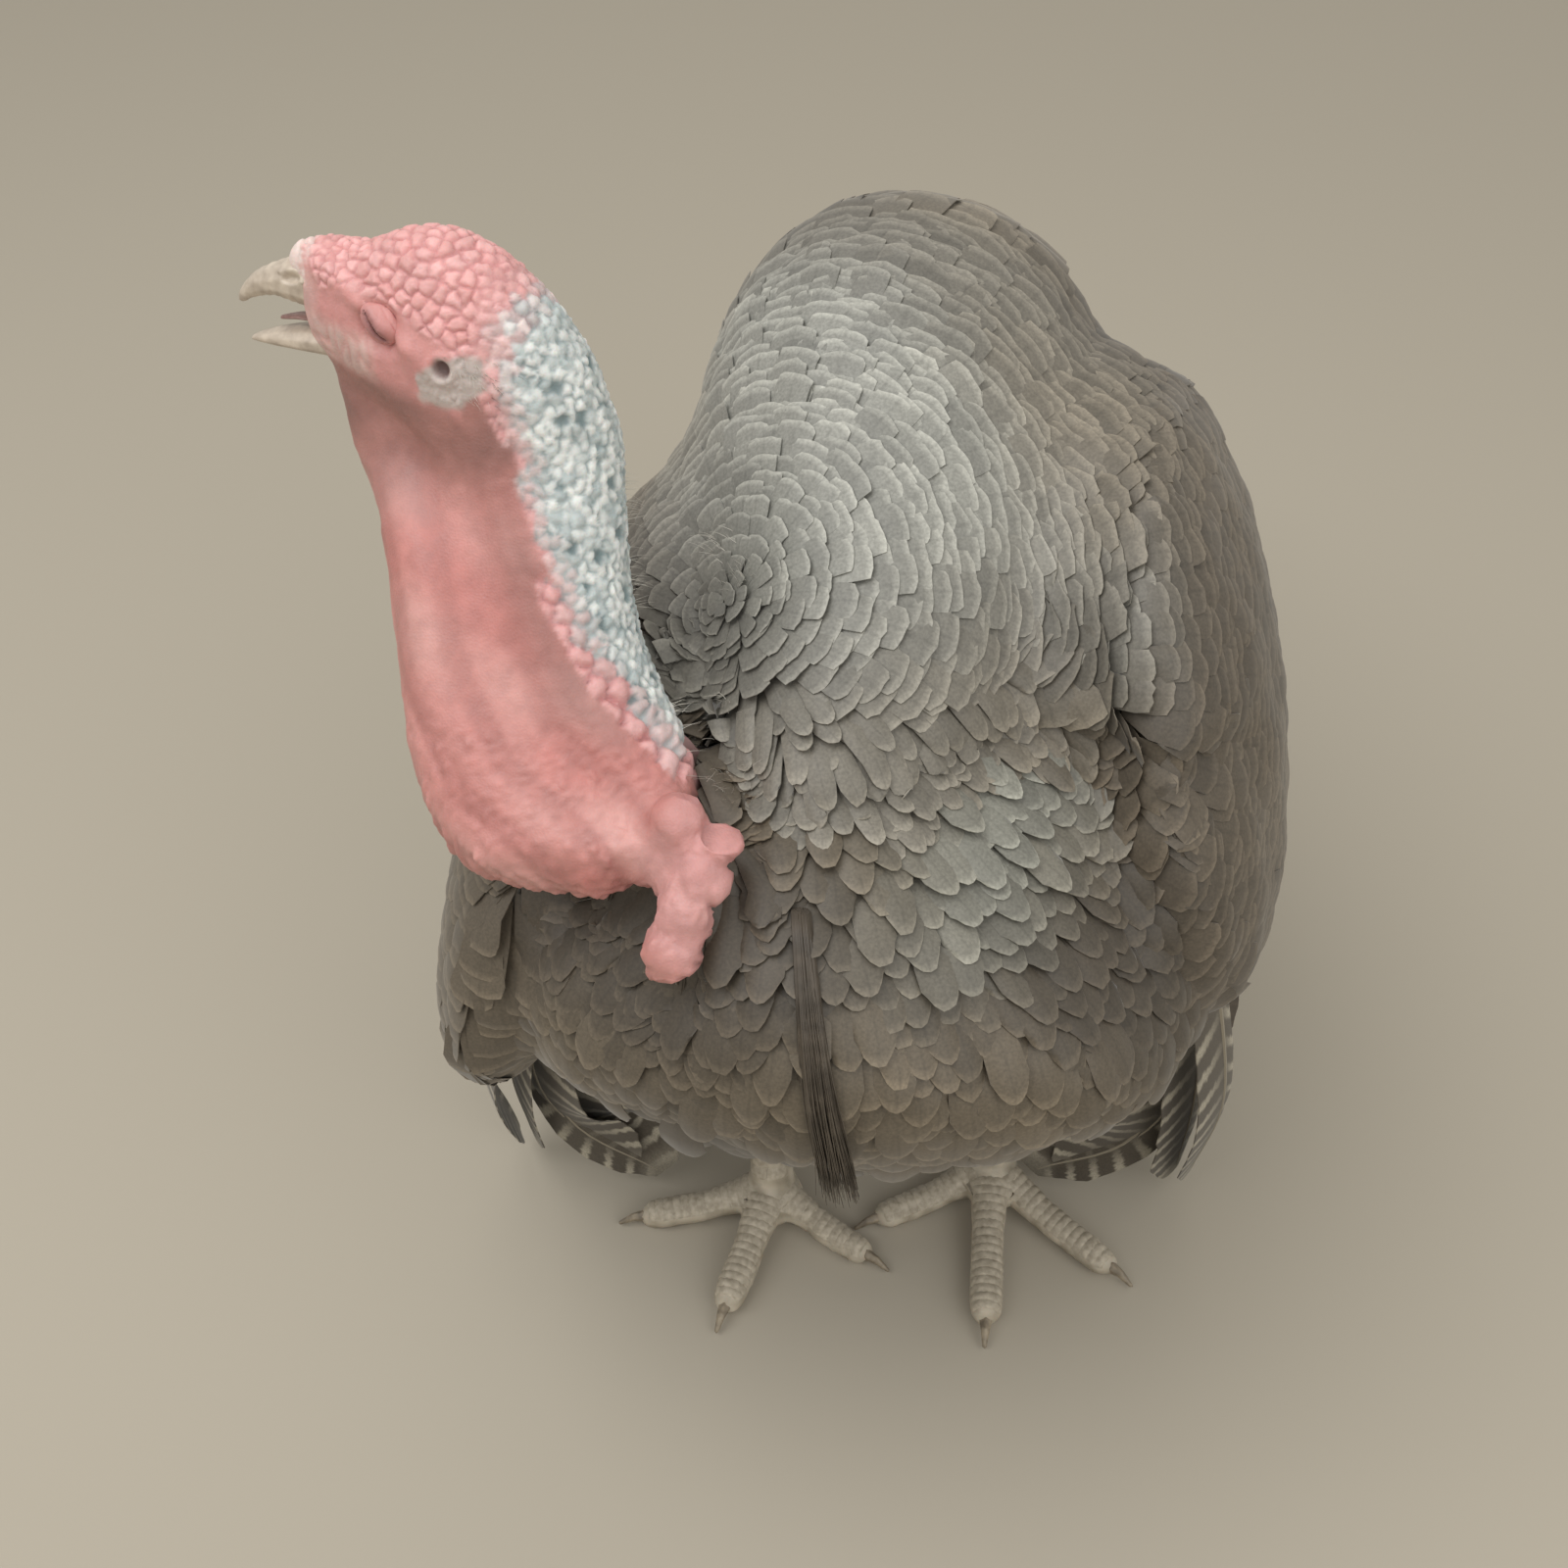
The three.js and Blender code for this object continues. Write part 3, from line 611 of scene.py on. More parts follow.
class NodeKit:
    """A new material's node tree, with short ways to add its nodes."""

    def __init__(self, name: str) -> None:
        """Makes the material.

        Args:
            name: the material's name.
        """
        self.material = bpy.data.materials.new(name)
        self.material.use_nodes = True
        self.tree = self.material.node_tree

    def fill(self, node: bpy.types.Node, sockets: dict) -> bpy.types.Node:
        """Links a node's inputs, or sets them where a plain value is given.

        Args:
            node: the node.
            sockets: a socket or a plain value for each input, by name or number.

        Returns:
            The node.
        """
        for key, value in sockets.items():
            if isinstance(value, Socket):
                self.tree.links.new(value, node.inputs[key])
            else:
                node.inputs[key].default_value = value
        return node

    def add(self, kind: str, sockets: dict | None = None, **settings) -> bpy.types.Node:
        """Adds a node.

        Args:
            kind: its type, without the first word.
            sockets: what fills its inputs.
            settings: its properties.

        Returns:
            The node.
        """
        node = self.tree.nodes.new("ShaderNode" + kind)
        for key, value in settings.items():
            setattr(node, key, value)
        return self.fill(node, sockets or {})

    def finish(self, sockets: dict) -> Material:
        """Fills the Principled shader and hands the material over."""
        self.fill(self.tree.nodes["Principled BSDF"], sockets)
        return self.material

    def place(self) -> Socket:
        """The place on the piece, in Object coordinates."""
        return self.add("TexCoord").outputs["Object"]

    def vane(self) -> Socket:
        """The place on a feather: across and along."""
        return self.add("UVMap", uv_map="Vane").outputs["UV"]

    def colour(self, layer: str = "Tint") -> Socket:
        """A colour stored on the vertices."""
        return self.add("VertexColor", layer_name=layer).outputs["Color"]

    def split(self, vector: Socket) -> bpy.types.bpy_prop_collection:
        """The X, Y and Z of a vector or colour."""
        return self.add("SeparateXYZ", {0: vector}).outputs

    def math(self, operation: str, *values: Socket | float) -> Socket:
        """One step of reckoning."""
        return self.add("Math", dict(enumerate(values)), operation=operation).outputs[0]

    def ease(self, value: Socket, low: float, high: float, first: float = 0.0, last: float = 1.0) -> Socket:
        """Turns low to high into first to last."""
        sockets = {"Value": value, "From Min": low, "From Max": high, "To Min": first, "To Max": last}
        return self.add("MapRange", sockets).outputs[0]

    def noise(self, grain: float, detail: float = 2.0, place: Socket | None = None) -> Socket:
        """A cloudy pattern with a grain in mm."""
        sockets = {"Vector": place or self.place(), "Scale": 1 / (grain * MM), "Detail": detail}
        return self.add("TexNoise", sockets).outputs["Fac"]

    def mottle(self, grain: float, first: float, last: float, detail: float = 2.0) -> Socket:
        """The cloudy pattern, stretched from first to last."""
        return self.ease(self.noise(grain, detail), 0.3, 0.7, first, last)

    def scaled(self, colour: Socket, share: Socket) -> Socket:
        """A colour made lighter or darker."""
        return self.add("VectorMath", {0: colour, "Scale": share}, operation="SCALE").outputs[0]

    def mix(self, share: Socket, one: Socket | str, two: Socket | str) -> Socket:
        """Mixes two colours, each a socket or sRGB hex."""
        one, two = (linear(c) if isinstance(c, str) else c for c in (one, two))
        return self.add("Mix", {"Factor": share, 6: one, 7: two}, data_type="RGBA").outputs[2]

    def bump(self, height: Socket, strength: float, depth: float) -> Socket:
        """Relief of a depth in mm."""
        sockets = {"Height": height, "Strength": strength, "Distance": depth * MM}
        return self.add("Bump", sockets).outputs["Normal"]


def dress(piece: Piece, material: Material) -> None:
    """Gives a piece one material all over."""
    piece.data.materials.clear()
    piece.data.materials.append(material)


def finish_piece(piece: Piece, material: Material, slot: str, *nodes: str, smooth: bool = False) -> None:
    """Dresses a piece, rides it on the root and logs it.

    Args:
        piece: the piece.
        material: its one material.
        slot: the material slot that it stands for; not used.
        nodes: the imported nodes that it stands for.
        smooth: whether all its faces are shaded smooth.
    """
    dress(piece, material)
    if smooth:
        select_only(piece)
        bpy.ops.object.shade_smooth()
    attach(piece, "root")
    if nodes:
        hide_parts(*nodes)
    log.info("%s: %d faces", piece.name, len(piece.data.polygons))


# ---------------------------------------------------------------- skin

BARE_NODES = ["head", "neck", "dewlap", "caruncles", "snood", "ear_left", "ear_right"]
SIDES = ("left", "right")
TOES = ("outer", "middle", "inner", "hallux")
LEG_NODES = [
    f"{part}_{side}" for side in SIDES for part in ("shank", "foot_pad", *(f"toe_{toe}" for toe in TOES))
]
COAT_NODES = [
    "breast", "belly", "back", "rump", "tail_coverts",
    "wing_left", "wing_right", "thigh_left", "thigh_right",
]


def cape_edge(bird_mm: Array) -> Array:
    """How far below the cape's lower edge a place lies: the edge rises a little towards the middle."""
    x, y, z = bird_mm.T
    return 381 - 0.16 * np.maximum(x - 30, 0) - 0.45 * np.maximum(y + 60, 0) - z


@dataclass
class CoatBase:
    """The skin as the feathers grow from it: a quad mesh in arrays.

    Args:
        points: the skin's surface, row metres.
        outer: where the coat's outer surface lies over each point.
        normals: outward directions.
        quads: four corners of each face.
        region: index into COAT_NODES of the nearest node, or -1 on bare skin and legs.
        edges: index pairs.
        bake: a place on the skin's unwrap for each face corner.
    """

    points: Array
    outer: Array
    normals: Array
    quads: Array
    region: Array
    edges: Array
    bake: Array


@dataclass
class Skin:
    """The one skin over head, neck, trunk, wings and legs.

    Args:
        voxel: grid of the first shell.
        depths: how deep the skin lies under the coat's outer surface, for each coat node.
        bridge_from: above this height the skin is drawn taut over the creases between wings and back.
        bridge_reach: how far from both it still spans, mm.
        bridge_rounds: how thoroughly.
        shelf_drop: how much deeper the breast lies just under the cape's edge.
        snood_middle: the middle of the drawn-up snood, in the head's frame.
        snood_radius: millimetres.
        coat_creeps: how far the coat creeps up the foot of the neck.
        neck_foot: the height up to which it does.
        fold_middle: the fold between neck, back and right wing, which is feathered too.
        fold_radius: millimetres.
        off_neck: how far from the neck's own surface the fold is feathered, mm.
    """

    voxel: float = 5.0
    depths: dict[str, float] = field(default_factory=lambda: {
        "breast": 11.0, "belly": 11.0, "back": 12.0, "rump": 11.0, "tail_coverts": 6.0,
        "wing_left": 7.0, "wing_right": 7.0, "thigh_left": 7.0, "thigh_right": 7.0,
    })
    bridge_from: float = 352.0
    bridge_reach: float = 30.0
    bridge_rounds: int = 260
    shelf_drop: float = 8.0
    snood_middle: Point = (4.0, 0.0, 18.6)
    snood_radius: float = 8.0
    coat_creeps: float = 9.0
    neck_foot: float = 415.0
    fold_middle: Point = (-64.0, -74.0, 384.0)
    fold_radius: float = 36.0
    off_neck: float = 2.5

    def shell(self) -> Piece:
        """Makes the closed shell over all flesh nodes, its facets smoothed away.

        Returns:
            The shell.
        """
        piece = copy_of("skin", [n for n in BARE_NODES if n != "snood"] + LEG_NODES + COAT_NODES)
        bpy.ops.object.select_all(action="DESELECT")
        bulb = HEAD.place(np.array(self.snood_middle))
        bpy.ops.mesh.primitive_ico_sphere_add(subdivisions=3, radius=self.snood_radius * MM, location=bulb)
        snood = bpy.context.view_layer.objects.active
        select_only(piece, snood)
        bpy.ops.object.join()
        apply_modifier(piece, "REMESH", mode="VOXEL", voxel_size=self.voxel * MM)
        keep_largest(piece)
        move_points(piece, relax(points_of(piece), edges_of(piece), 6))
        self.bridge(piece)
        apply_modifier(piece, "REMESH", mode="VOXEL", voxel_size=self.voxel * MM)
        keep_largest(piece)
        points, edges = points_of(piece), edges_of(piece)
        trunk = ramp(20, 34, away_from(BARE_NODES + LEG_NODES, points))
        points = relax(points, edges, 5)
        move_points(piece, relax(points, edges, 26, trunk))
        return piece

    def bridge(self, piece: Piece) -> None:
        """Draws the skin taut over the creases between the back and the wings.

        Args:
            piece: the skin.
        """
        points, edges = points_of(piece), edges_of(piece)
        back = away_from(["back"], points)
        high = ramp(self.bridge_from - 6, self.bridge_from + 16, BIRD.read(points)[:, 2])
        for side in SIDES:
            gap = np.maximum(back, away_from([f"wing_{side}"], points))
            span = ramp(self.bridge_reach, self.bridge_reach * 0.8, gap) * high
            points = relax(points, edges, self.bridge_rounds, span, pull=0.9, push=0.0)
        move_points(piece, points)

    def regions(self, points: Array) -> tuple[Array, Array]:
        """Finds which kind of node each point lies on.

        Args:
            points: row metres.

        Returns:
            An index into COAT_NODES (-1 elsewhere), and 1 where the point is on the bare head and neck,
            2 on the legs, 0 on the coat.
        """
        groups = [[n] for n in COAT_NODES] + [BARE_NODES, LEG_NODES]
        foot = len(COAT_NODES)
        far = np.array([away_from(nodes, points) for nodes in groups])
        mm = BIRD.read(points)
        creeps = (mm[:, 2] < self.neck_foot) & (far[:foot].min(axis=0) < self.coat_creeps)
        in_fold = np.linalg.norm(mm - np.array(self.fold_middle), axis=1) < self.fold_radius
        far[foot, creeps | in_fold & (far[foot] > self.off_neck)] = np.inf
        nearest = far.argmin(axis=0)
        kind = np.where(nearest < foot, 0, nearest - foot + 1)
        return np.where(kind == 0, nearest, -1), kind

    def build(self) -> tuple[Piece, CoatBase]:
        """Makes the skin and the base that the feathers grow from.

        Returns:
            The skin, and the base.
        """
        piece = self.shell()
        outer = points_of(piece)
        edges = edges_of(piece)
        quads = np.array([list(p.vertices) for p in piece.data.polygons])
        region, kind = self.regions(outer)
        normals = quad_normals(outer, quads)
        depth = np.zeros(len(outer))
        for index, node in enumerate(COAT_NODES):
            depth[region == index] = self.depths[node]
        depth = relax(depth[:, None], edges, 10, pull=0.5, push=0.0)[:, 0]
        below = cape_edge(BIRD.read(outer))
        drop = ramp(-4, 4, below) * np.exp(-np.maximum(below, 0) / 30) * (region >= 0)
        drop *= 1 - ramp(-60, -20, BIRD.read(outer)[:, 1])
        outer = outer - normals * (relax(drop[:, None], edges, 2, pull=0.5, push=0.0) * self.shelf_drop * MM)
        skin_points = outer - normals * depth[:, None] * MM
        move_points(piece, skin_points)
        edit_all(piece, bpy.ops.uv.smart_project, angle_limit=math.radians(66), island_margin=0.002)
        bake = gather(piece.data.uv_layers[0].data, "uv", 2).reshape(-1, 4, 2).astype(float)
        piece.data.uv_layers.remove(piece.data.uv_layers[0])
        base = CoatBase(skin_points, outer, normals, quads, region, edges, bake)
        self.refine(piece, kind)
        return piece, base

    def refine(self, piece: Piece, kind: Array) -> None:
        """Halves the mesh again and again towards the eyes, and once on the legs.

        Args:
            piece: the skin.
            kind: 1 where a point is on the bare head and neck, 2 on the legs, 0 on the coat.
        """
        work = bmesh.new()
        work.from_mesh(piece.data)
        layer = work.verts.layers.int.new("kind")
        work.verts.ensure_lookup_table()
        for vert, value in zip(work.verts, kind):
            vert[layer] = int(value)
        for level in range(4):
            middles = BIRD.read(np.array([f.calc_center_median() for f in work.faces]))
            wanted = self.detail(middles, level)
            chosen = {1, 2} if level == 0 else {1}
            picked = [f for f, w in zip(work.faces, wanted) if w and all(v[layer] in chosen for v in f.verts)]
            edges = list({e for f in picked for e in f.edges})
            made = bmesh.ops.subdivide_edges(work, edges=edges, cuts=1, use_grid_fill=True)
            for vert in (g for g in made["geom_inner"] if isinstance(g, bmesh.types.BMVert)):
                vert[layer] = max(v[layer] for e in vert.link_edges for v in e.verts if v != vert)
        work.to_mesh(piece.data)
        work.free()

    def detail(self, mm: Array, level: int) -> Array:
        """Chooses the places for a level of detail.

        Args:
            mm: places, bird's frame.
            level: of detail, 0 to 3.

        Returns:
            Whether the mesh is halved at each.
        """
        ahead, left, high = HEAD.read(mm).T
        if level == 0:
            return np.ones(len(mm), bool)
        if level == 1:
            nape, _ = NECK.read(mm)
            return (high > -26) & (ahead > -90) | (nape > 0.1) | (mm[:, 2] < 398)
        if level == 2:
            return (ahead > -60) & (high > -5)
        return np.linalg.norm(np.stack([ahead + 28, high - 11], 1), axis=1) < 9.5


# ---------------------------------------------------------------- bare skin


def ripple(places: Array, wave: float, rng: Rng, stretch: tuple = (1, 1, 1),
           waves: int = 14) -> Array:
    """A smooth random swell over places.

    Args:
        places: (n, 3) millimetres.
        wave: its wavelength, mm.
        rng: draws the waves.
        stretch: how much longer it is along each axis.
        waves: how many are summed.

    Returns:
        Values around 0, mostly between -1 and 1.
    """
    total = np.zeros(len(places))
    for _ in range(waves):
        heading = unit(rng.normal(size=3)) / np.array(stretch)
        length = wave * rng.uniform(0.7, 1.4)
        total += np.sin(places @ heading * (2 * np.pi / length) + rng.uniform(0, 6.28))
    return total * math.sqrt(2 / waves) * 0.6


@dataclass
class Lumps:
    """Rounded lumps packed side by side over a surface.

    Args:
        centres: where their middles are.
        owner: the lump of each place.
        dome: 1 in the middle of a lump, 0 in the valleys between.
    """

    centres: Array
    owner: Array
    dome: Array

    @classmethod
    def pack(cls, places: Array, sizes: Array, rng: Rng,
             valley: float = 0.5) -> "Lumps":
        """Packs lumps over places.

        Args:
            places: (n, 3) millimetres.
            sizes: the lumps' size wanted at each, mm; 0 for none.
            rng: draws their middles.
            valley: the valleys' width, in shares of a lump's.

        Returns:
            The lumps.
        """
        tree = tree_of(places)
        free = sizes > 0
        kept = []
        for i in rng.permutation(len(places)).tolist():
            if free[i]:
                kept.append(i)
                for _, j, _ in tree.find_range(places[i], sizes[i] * rng.uniform(0.72, 1.0)):
                    free[j] = False
        middles = tree_of(places[kept])
        wobble = places + np.stack([ripple(places, 4.0, rng) for _ in range(3)], 1) * 0.5
        owner = np.zeros(len(places), int)
        dome = np.zeros(len(places))
        for i in np.nonzero(sizes > 0)[0].tolist():
            (_, first, near), (_, _, far) = middles.find_n(wobble[i], 2)
            owner[i] = first
            dome[i] = min((far - near) / (valley * sizes[i]), 1.0)
        return cls(places[kept], owner, dome * (2 - dome))


@dataclass(frozen=True)
class SkinTones:
    """The colours of the bare skin, sRGB hex, each named for where it lies; some are painted shade."""

    crown: str = "e6b1af"
    # painted shade in the crown's valleys and round the lids
    crown_deep: str = "c98c8b"
    brow: str = "cd918d"
    cheek: str = "c9a9a2"
    throat: str = "936a64"
    throat_red: str = "a97871"
    wattle: str = "c07f79"
    wattle_light: str = "cf9a94"
    # painted shade in the troughs of the neck's folds
    wattle_deep: str = "a46a64"
    nape: str = "e8eae7"
    nape_blue: str = "b0baba"
    # painted shade in the nape's valleys and pits
    nape_deep: str = "63777a"
    nape_border: str = "c9b0ae"
    bead: str = "d29f9d"
    snood: str = "dfd0c9"
    ear: str = "bdb0aa"
    # painted shade in the ear's opening
    ear_hole: str = "7a6461"
    # dark like down, and painted shade so gaps in the coat read as shadow
    down_and_gap_shade: str = "332f29"
    leg: str = "c8beac"
    leg_deep: str = "978d7b"


@dataclass
class BareSkin:
    """The lumps, folds and colours of the head and neck, worked into the skin.

    Args:
        slit: half length and half height of the lids' opening.
        slit_tilt: how far the opening's front end is turned up, radians.
        ear: the ear's middle, ahead and up.
        snood: the ends of the snood's core, in the head's frame.
        snood_radius: millimetres.
        lobes: middle, radius and drop of each large lobe below the nape's border, bird's frame.
        chin: where the throat is drawn forward into the hanging skin, bird's frame.
        chin_spread: how far that reaches along each axis, mm.
        chin_push: how far it is drawn, bird's frame.
        chin_zone: where the first shell is smoothed between chin and throat.
        lobe_zone: where it is smoothed about the lobes.
        lobe_tint: where they take their own colour.
        toe_padding: how much fuller the toes are than the first shell, mm.
        tones: the colours.
    """

    slit: Pair = (5.0, 1.5)
    slit_tilt: float = 0.87
    ear: Pair = (-52.5, 5.5)
    snood: tuple = ((0, 0, 19.5), (6.5, 0, 17.6))
    snood_radius: float = 6.6
    lobes: tuple = (
        (-42, -163, 380, 9.0, 3), (-27, -166, 377, 7.5, 2), (-33, -172, 366, 8.5, 3),
        (-26, -173, 362, 6.5, 2), (-37, -179, 352, 9.5, 5), (-40, -183, 340, 10.5, 6),
    )
    chin: Point = (-158.0, -94.0, 453.0)
    chin_spread: Point = (16.0, 16.0, 11.0)
    chin_push: Point = (-3.4, -0.6, 0.0)
    chin_zone: Zone = Zone((-165, -84, 462), (24, 24, 40))
    lobe_zone: Zone = Zone((-34, -176, 358), (24, 22, 36))
    lobe_tint: Zone = Zone((-33, -174, 358), (1, 1, 1.5))
    toe_padding: float = 1.7
    tones: SkinTones = SkinTones()

    def lumpy(self, local: Array, past: Array) -> Array:
        """Finds where the crown and nape are covered in lumps.

        Args:
            local: places in the head's frame.
            past: how far past the white skin's border each lies.

        Returns:
            0 to 1.
        """
        ahead, _, high = local.T
        floor = np.interp(ahead, (-74, -64, -54, -43, -30, -12, -4, 3), (-16, 0, 12, 15, 20, 19, 15, 22))
        crown = ramp(-1.5, 2.5, high - floor) * (ahead > -76)
        return np.maximum(crown, ramp(-0.08, 0.04, past) * (ahead < -66))

    def lids(self, local: Array) -> tuple[Array, Array]:
        """Shapes the lids over the eyeball.

        Args:
            local: places in the head's frame.

        Returns:
            The new places, and how near each is to the opening's edge, mm (negative inside).
        """
        ahead, left, high = local.T
        c, s = math.cos(self.slit_tilt), math.sin(self.slit_tilt)
        da, dh = ahead - HEAD.eye[0], high - HEAD.eye[2]
        along, across = da * c + dh * s, dh * c - da * s
        away = np.hypot(along, across)
        lid = HEAD.eye[1] + np.sqrt(np.maximum((HEAD.eye_radius + 1.0) ** 2 - away ** 2, 0))
        half = self.slit[1] * np.sqrt(np.maximum(1 - (along / self.slit[0]) ** 2, 0))
        past_end = np.abs(along) - self.slit[0]
        edge = np.abs(across) + np.where(past_end < 0, -half, past_end)
        share = 0.8 * (1 - ramp(HEAD.eye_radius - 2.0, HEAD.eye_radius + 6.0, away))
        side = np.abs(left)
        shaped = side * (1 - share) + np.maximum(lid, side * 0.2) * share
        shaped += 0.35 * bell(edge, 0.9, 0.8) * (away < 9)
        fold = bell(edge, 3.4, 0.6) * (across > 0)
        shaped -= 0.35 * fold * (away < 11)
        ball = HEAD.eye[1] + np.sqrt(np.maximum(HEAD.eye_radius ** 2 - away ** 2, 0))
        inside = ramp(0.35, -0.15, edge) * (away < 8)
        shaped = shaped * (1 - inside) + (ball - 1.6) * inside
        out = local.copy()
        near = (away < HEAD.eye_radius + 6) & (side > 6)
        out[near, 1] = (np.sign(left) * shaped)[near]
        return out, edge

    def shape(self, piece: Piece) -> None:
        """Works the forms and colours into the skin.

        Args:
            piece: the skin.
        """
        rng = np.random.default_rng(SEED + 1)
        kind = gather(piece.data.attributes["kind"].data, "value", 1, np.int32)[:, 0]
        count = len(kind)
        points, edges = points_of(piece), edges_of(piece)
        bare = kind == 1
        points = relax(points, edges, 5, (kind > 0).astype(float))
        mm = BIRD.read(points)
        log.info("bare skin over %d points, up to %.0f mm", bare.sum(), mm[:, 2].max())
        chin = self.chin_zone.reach(mm)
        points = relax(points, edges, 60, bare * ramp(1.0, 0.7, chin), pull=0.7, push=-0.2)
        lobe = self.lobe_zone.reach(BIRD.read(points))
        points = relax(points, edges, 30, bare * ramp(1.0, 0.8, lobe), pull=0.7, push=-0.6)
        legs = kind == 2
        points[legs] = self.fill_out(points[legs])
        points = relax(points, edges, 2, legs.astype(float))
        move_points(piece, points)
        toes = legs * ramp(44, 30, BIRD.read(points)[:, 2])
        points = points + normals_of(piece) * (toes * self.toe_padding * MM)[:, None]
        points[legs, 2] = np.maximum(points[legs, 2], 0.2 * MM)
        local = HEAD.read(BIRD.read(points))
        local[bare], slit = self.lids(local[bare])
        points = HEAD.place(local)
        points = relax(points, edges, 1, bare * (local[:, 0] > -45) * 0.6)
        points[bare] = BIRD.place(self.swell(BIRD.read(points[bare])))
        points = relax(points, edges, 2, bare * ramp(1.3, 1.0, lobe), pull=0.5, push=-0.4)
        move_points(piece, points)
        normals = normals_of(piece)
        mm = BIRD.read(points)
        rise = np.zeros(count)
        # painted shade: the skin under the coat is dark brown, so gaps between feathers read as shadow
        tints = np.tile(rgb(self.tones.down_and_gap_shade), (count, 1))
        rise[bare], tints[bare] = self.forms(mm[bare], normals[bare], slit, rng)
        mottle = 0.5 + 0.5 * ripple(mm[legs], 9.0, rng)
        tints[legs] = blend(rgb(self.tones.leg_deep), rgb(self.tones.leg), mottle.clip(0, 1))
        even = relax(rise[:, None], edges, 1, bare.astype(float), pull=0.3, push=0.0)[:, 0]
        move_points(piece, points + normals * even[:, None] * MM)
        paint(piece, "Tint", relax(tints, edges, 1, pull=0.4, push=0.0).clip(0, 1))
        piece.data.attributes.remove(piece.data.attributes["kind"])

    @staticmethod
    def fill_out(points: Array) -> Array:
        """Brings the legs and toes, drawn thin by the first shell, back out to their full girth.

        Args:
            points: of the legs, row metres.

        Returns:
            The new points.
        """
        tree = surface_of([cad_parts[node].data for node in LEG_NODES])
        full = [tree.find_nearest(p)[0] for p in points]
        return points * 0.1 + np.array([p if f is None else f for p, f in zip(points, full)]) * 0.9

    def swell(self, mm: Array) -> Array:
        """Brings out the snood, the large lobes and the throat under the chin.

        Args:
            mm: places, bird's frame.

        Returns:
            The new places.
        """
        balls = [(*BIRD.read(HEAD.place(np.array(self.snood))), self.snood_radius)]
        balls += [(np.array(c, float), np.array(c, float) + (0, 0, -drop), r) for *c, r, drop in self.lobes]
        for one, two, radius in balls:
            run = two - one
            share = ((mm - one) @ run / max(run @ run, 1e-9)).clip(0, 1)
            centre = one + share[:, None] * run
            away = np.linalg.norm(mm - centre, axis=1)
            near = (away < radius + 4) & (away > 0.3)
            push = np.where(away < radius, radius - away, 0) + 0.8 * bell(away, radius, 1.6)
            mm = mm + np.where(near[:, None], (mm - centre) / away[:, None] * push[:, None], 0)
        under_chin = np.exp(-np.sum(((mm - self.chin) / self.chin_spread) ** 2, axis=1))
        return mm + under_chin[:, None] * np.array(self.chin_push)

    def forms(self, mm: Array, normals: Array, slit: Array,
              rng: Rng) -> tuple[Array, Array]:
        """Works out the fine forms and the colours of the bare skin, with painted shade in its folds,
        valleys, pits, ear and lids, and under the head.

        Args:
            mm: places, bird's frame.
            normals: outward directions there.
            slit: how near each is to the edge of the lids' opening, mm.
            rng: draws the lumps and folds.

        Returns:
            The height, mm, and colour at each place.
        """
        tone = {name: rgb(value) for name, value in vars(self.tones).items()}
        local = HEAD.read(mm)
        ahead, left, high = local.T
        side = np.abs(left)
        nape, past = NECK.read(mm)
        lumpy = self.lumpy(local, past)
        low = 1 - ramp(430, 450, mm[:, 2])
        behind = ramp(-0.04, 0.05, past) * (ahead < -62)
        size = np.where(behind > 0.5, 3.7, 4.7 + 1.1 * ramp(26, 40, high))
        size = np.where((ahead < -52) & (high < 24) & (behind < 0.5), 4.4, size)
        size = np.where(ahead > -16, 3.9, size)
        beads = bell(past, -0.10, 0.14) * low * (mm[:, 1] > -170)
        size = np.where(beads > 0.3, 6.0 + 3.4 * ramp(432, 392, mm[:, 2]), size)
        lump_here = np.maximum(lumpy, ramp(0.3, 0.55, beads))
        lumps = Lumps.pack(mm, np.where(lump_here > 0.02, size, 0), rng, 0.62)
        dome = np.where(lump_here > 0.02, lumps.dome, 1)
        height = np.where(behind > 0.5, 1.2, 1.6)
        height += (1.2 + 1.8 * ramp(432, 392, mm[:, 2])) * ramp(0.3, 0.6, beads)
        rise = (dome - 0.75) * height * lump_here
        pitted = (rng.uniform(0, 1, len(lumps.centres)) < 0.07)[lumps.owner] & (ahead < -84) & (past > 0.2)
        rise -= 1.3 * pitted * dome * lump_here
        crust = ripple(mm, 2.8, rng)
        rise += 0.3 * crust * (behind > 0.5) * lump_here
        profile = 1.1 * bell(ahead, -3, 5) - 1.5 * bell(ahead, -14, 6.5) + bell(ahead, -33, 11)
        rise += profile * ramp(16, 24, high) * bell(left, 0, 11)

        # face: brow, cheek, ear
        brow_line = 21 - 0.40 * (-10 - ahead) * (ahead < -10)
        brow = bell(high, brow_line, 4.0) * ramp(-50, -40, ahead) * ramp(4, -4, ahead)
        brow *= ramp(5, 9, side)
        rise += 2.0 * brow
        cheek = ramp(-29, -21, ahead) * ramp(4, -3, ahead)
        cheek = cheek * ramp(-12, -7, high) * ramp(9, 3, high) * ramp(4, 8, side)
        crinkle = np.abs(ripple(mm, 6.5, rng, (1, 1, 2.2)))
        rise += cheek * 0.55 * (crinkle - 0.4)
        da, dh = ahead - self.ear[0], high - self.ear[1]
        ear_away = np.hypot(da, dh)
        on_side = side > 12
        rise += on_side * (0.9 * bell(ear_away, 4.3, 1.2) - 3.2 * ramp(3.2, 1.8, ear_away))
        patch = np.hypot((da + 3 + 0.5 * (dh + 4)) / 11, (dh + 4.5) / 10.5)
        ear_patch = ramp(1.08, 0.86, patch + 0.12 * ripple(mm, 6, rng)) * on_side
        rise += ear_patch * ramp(4.5, 6, ear_away) * 0.5 * np.abs(ripple(mm, 3.6, rng))

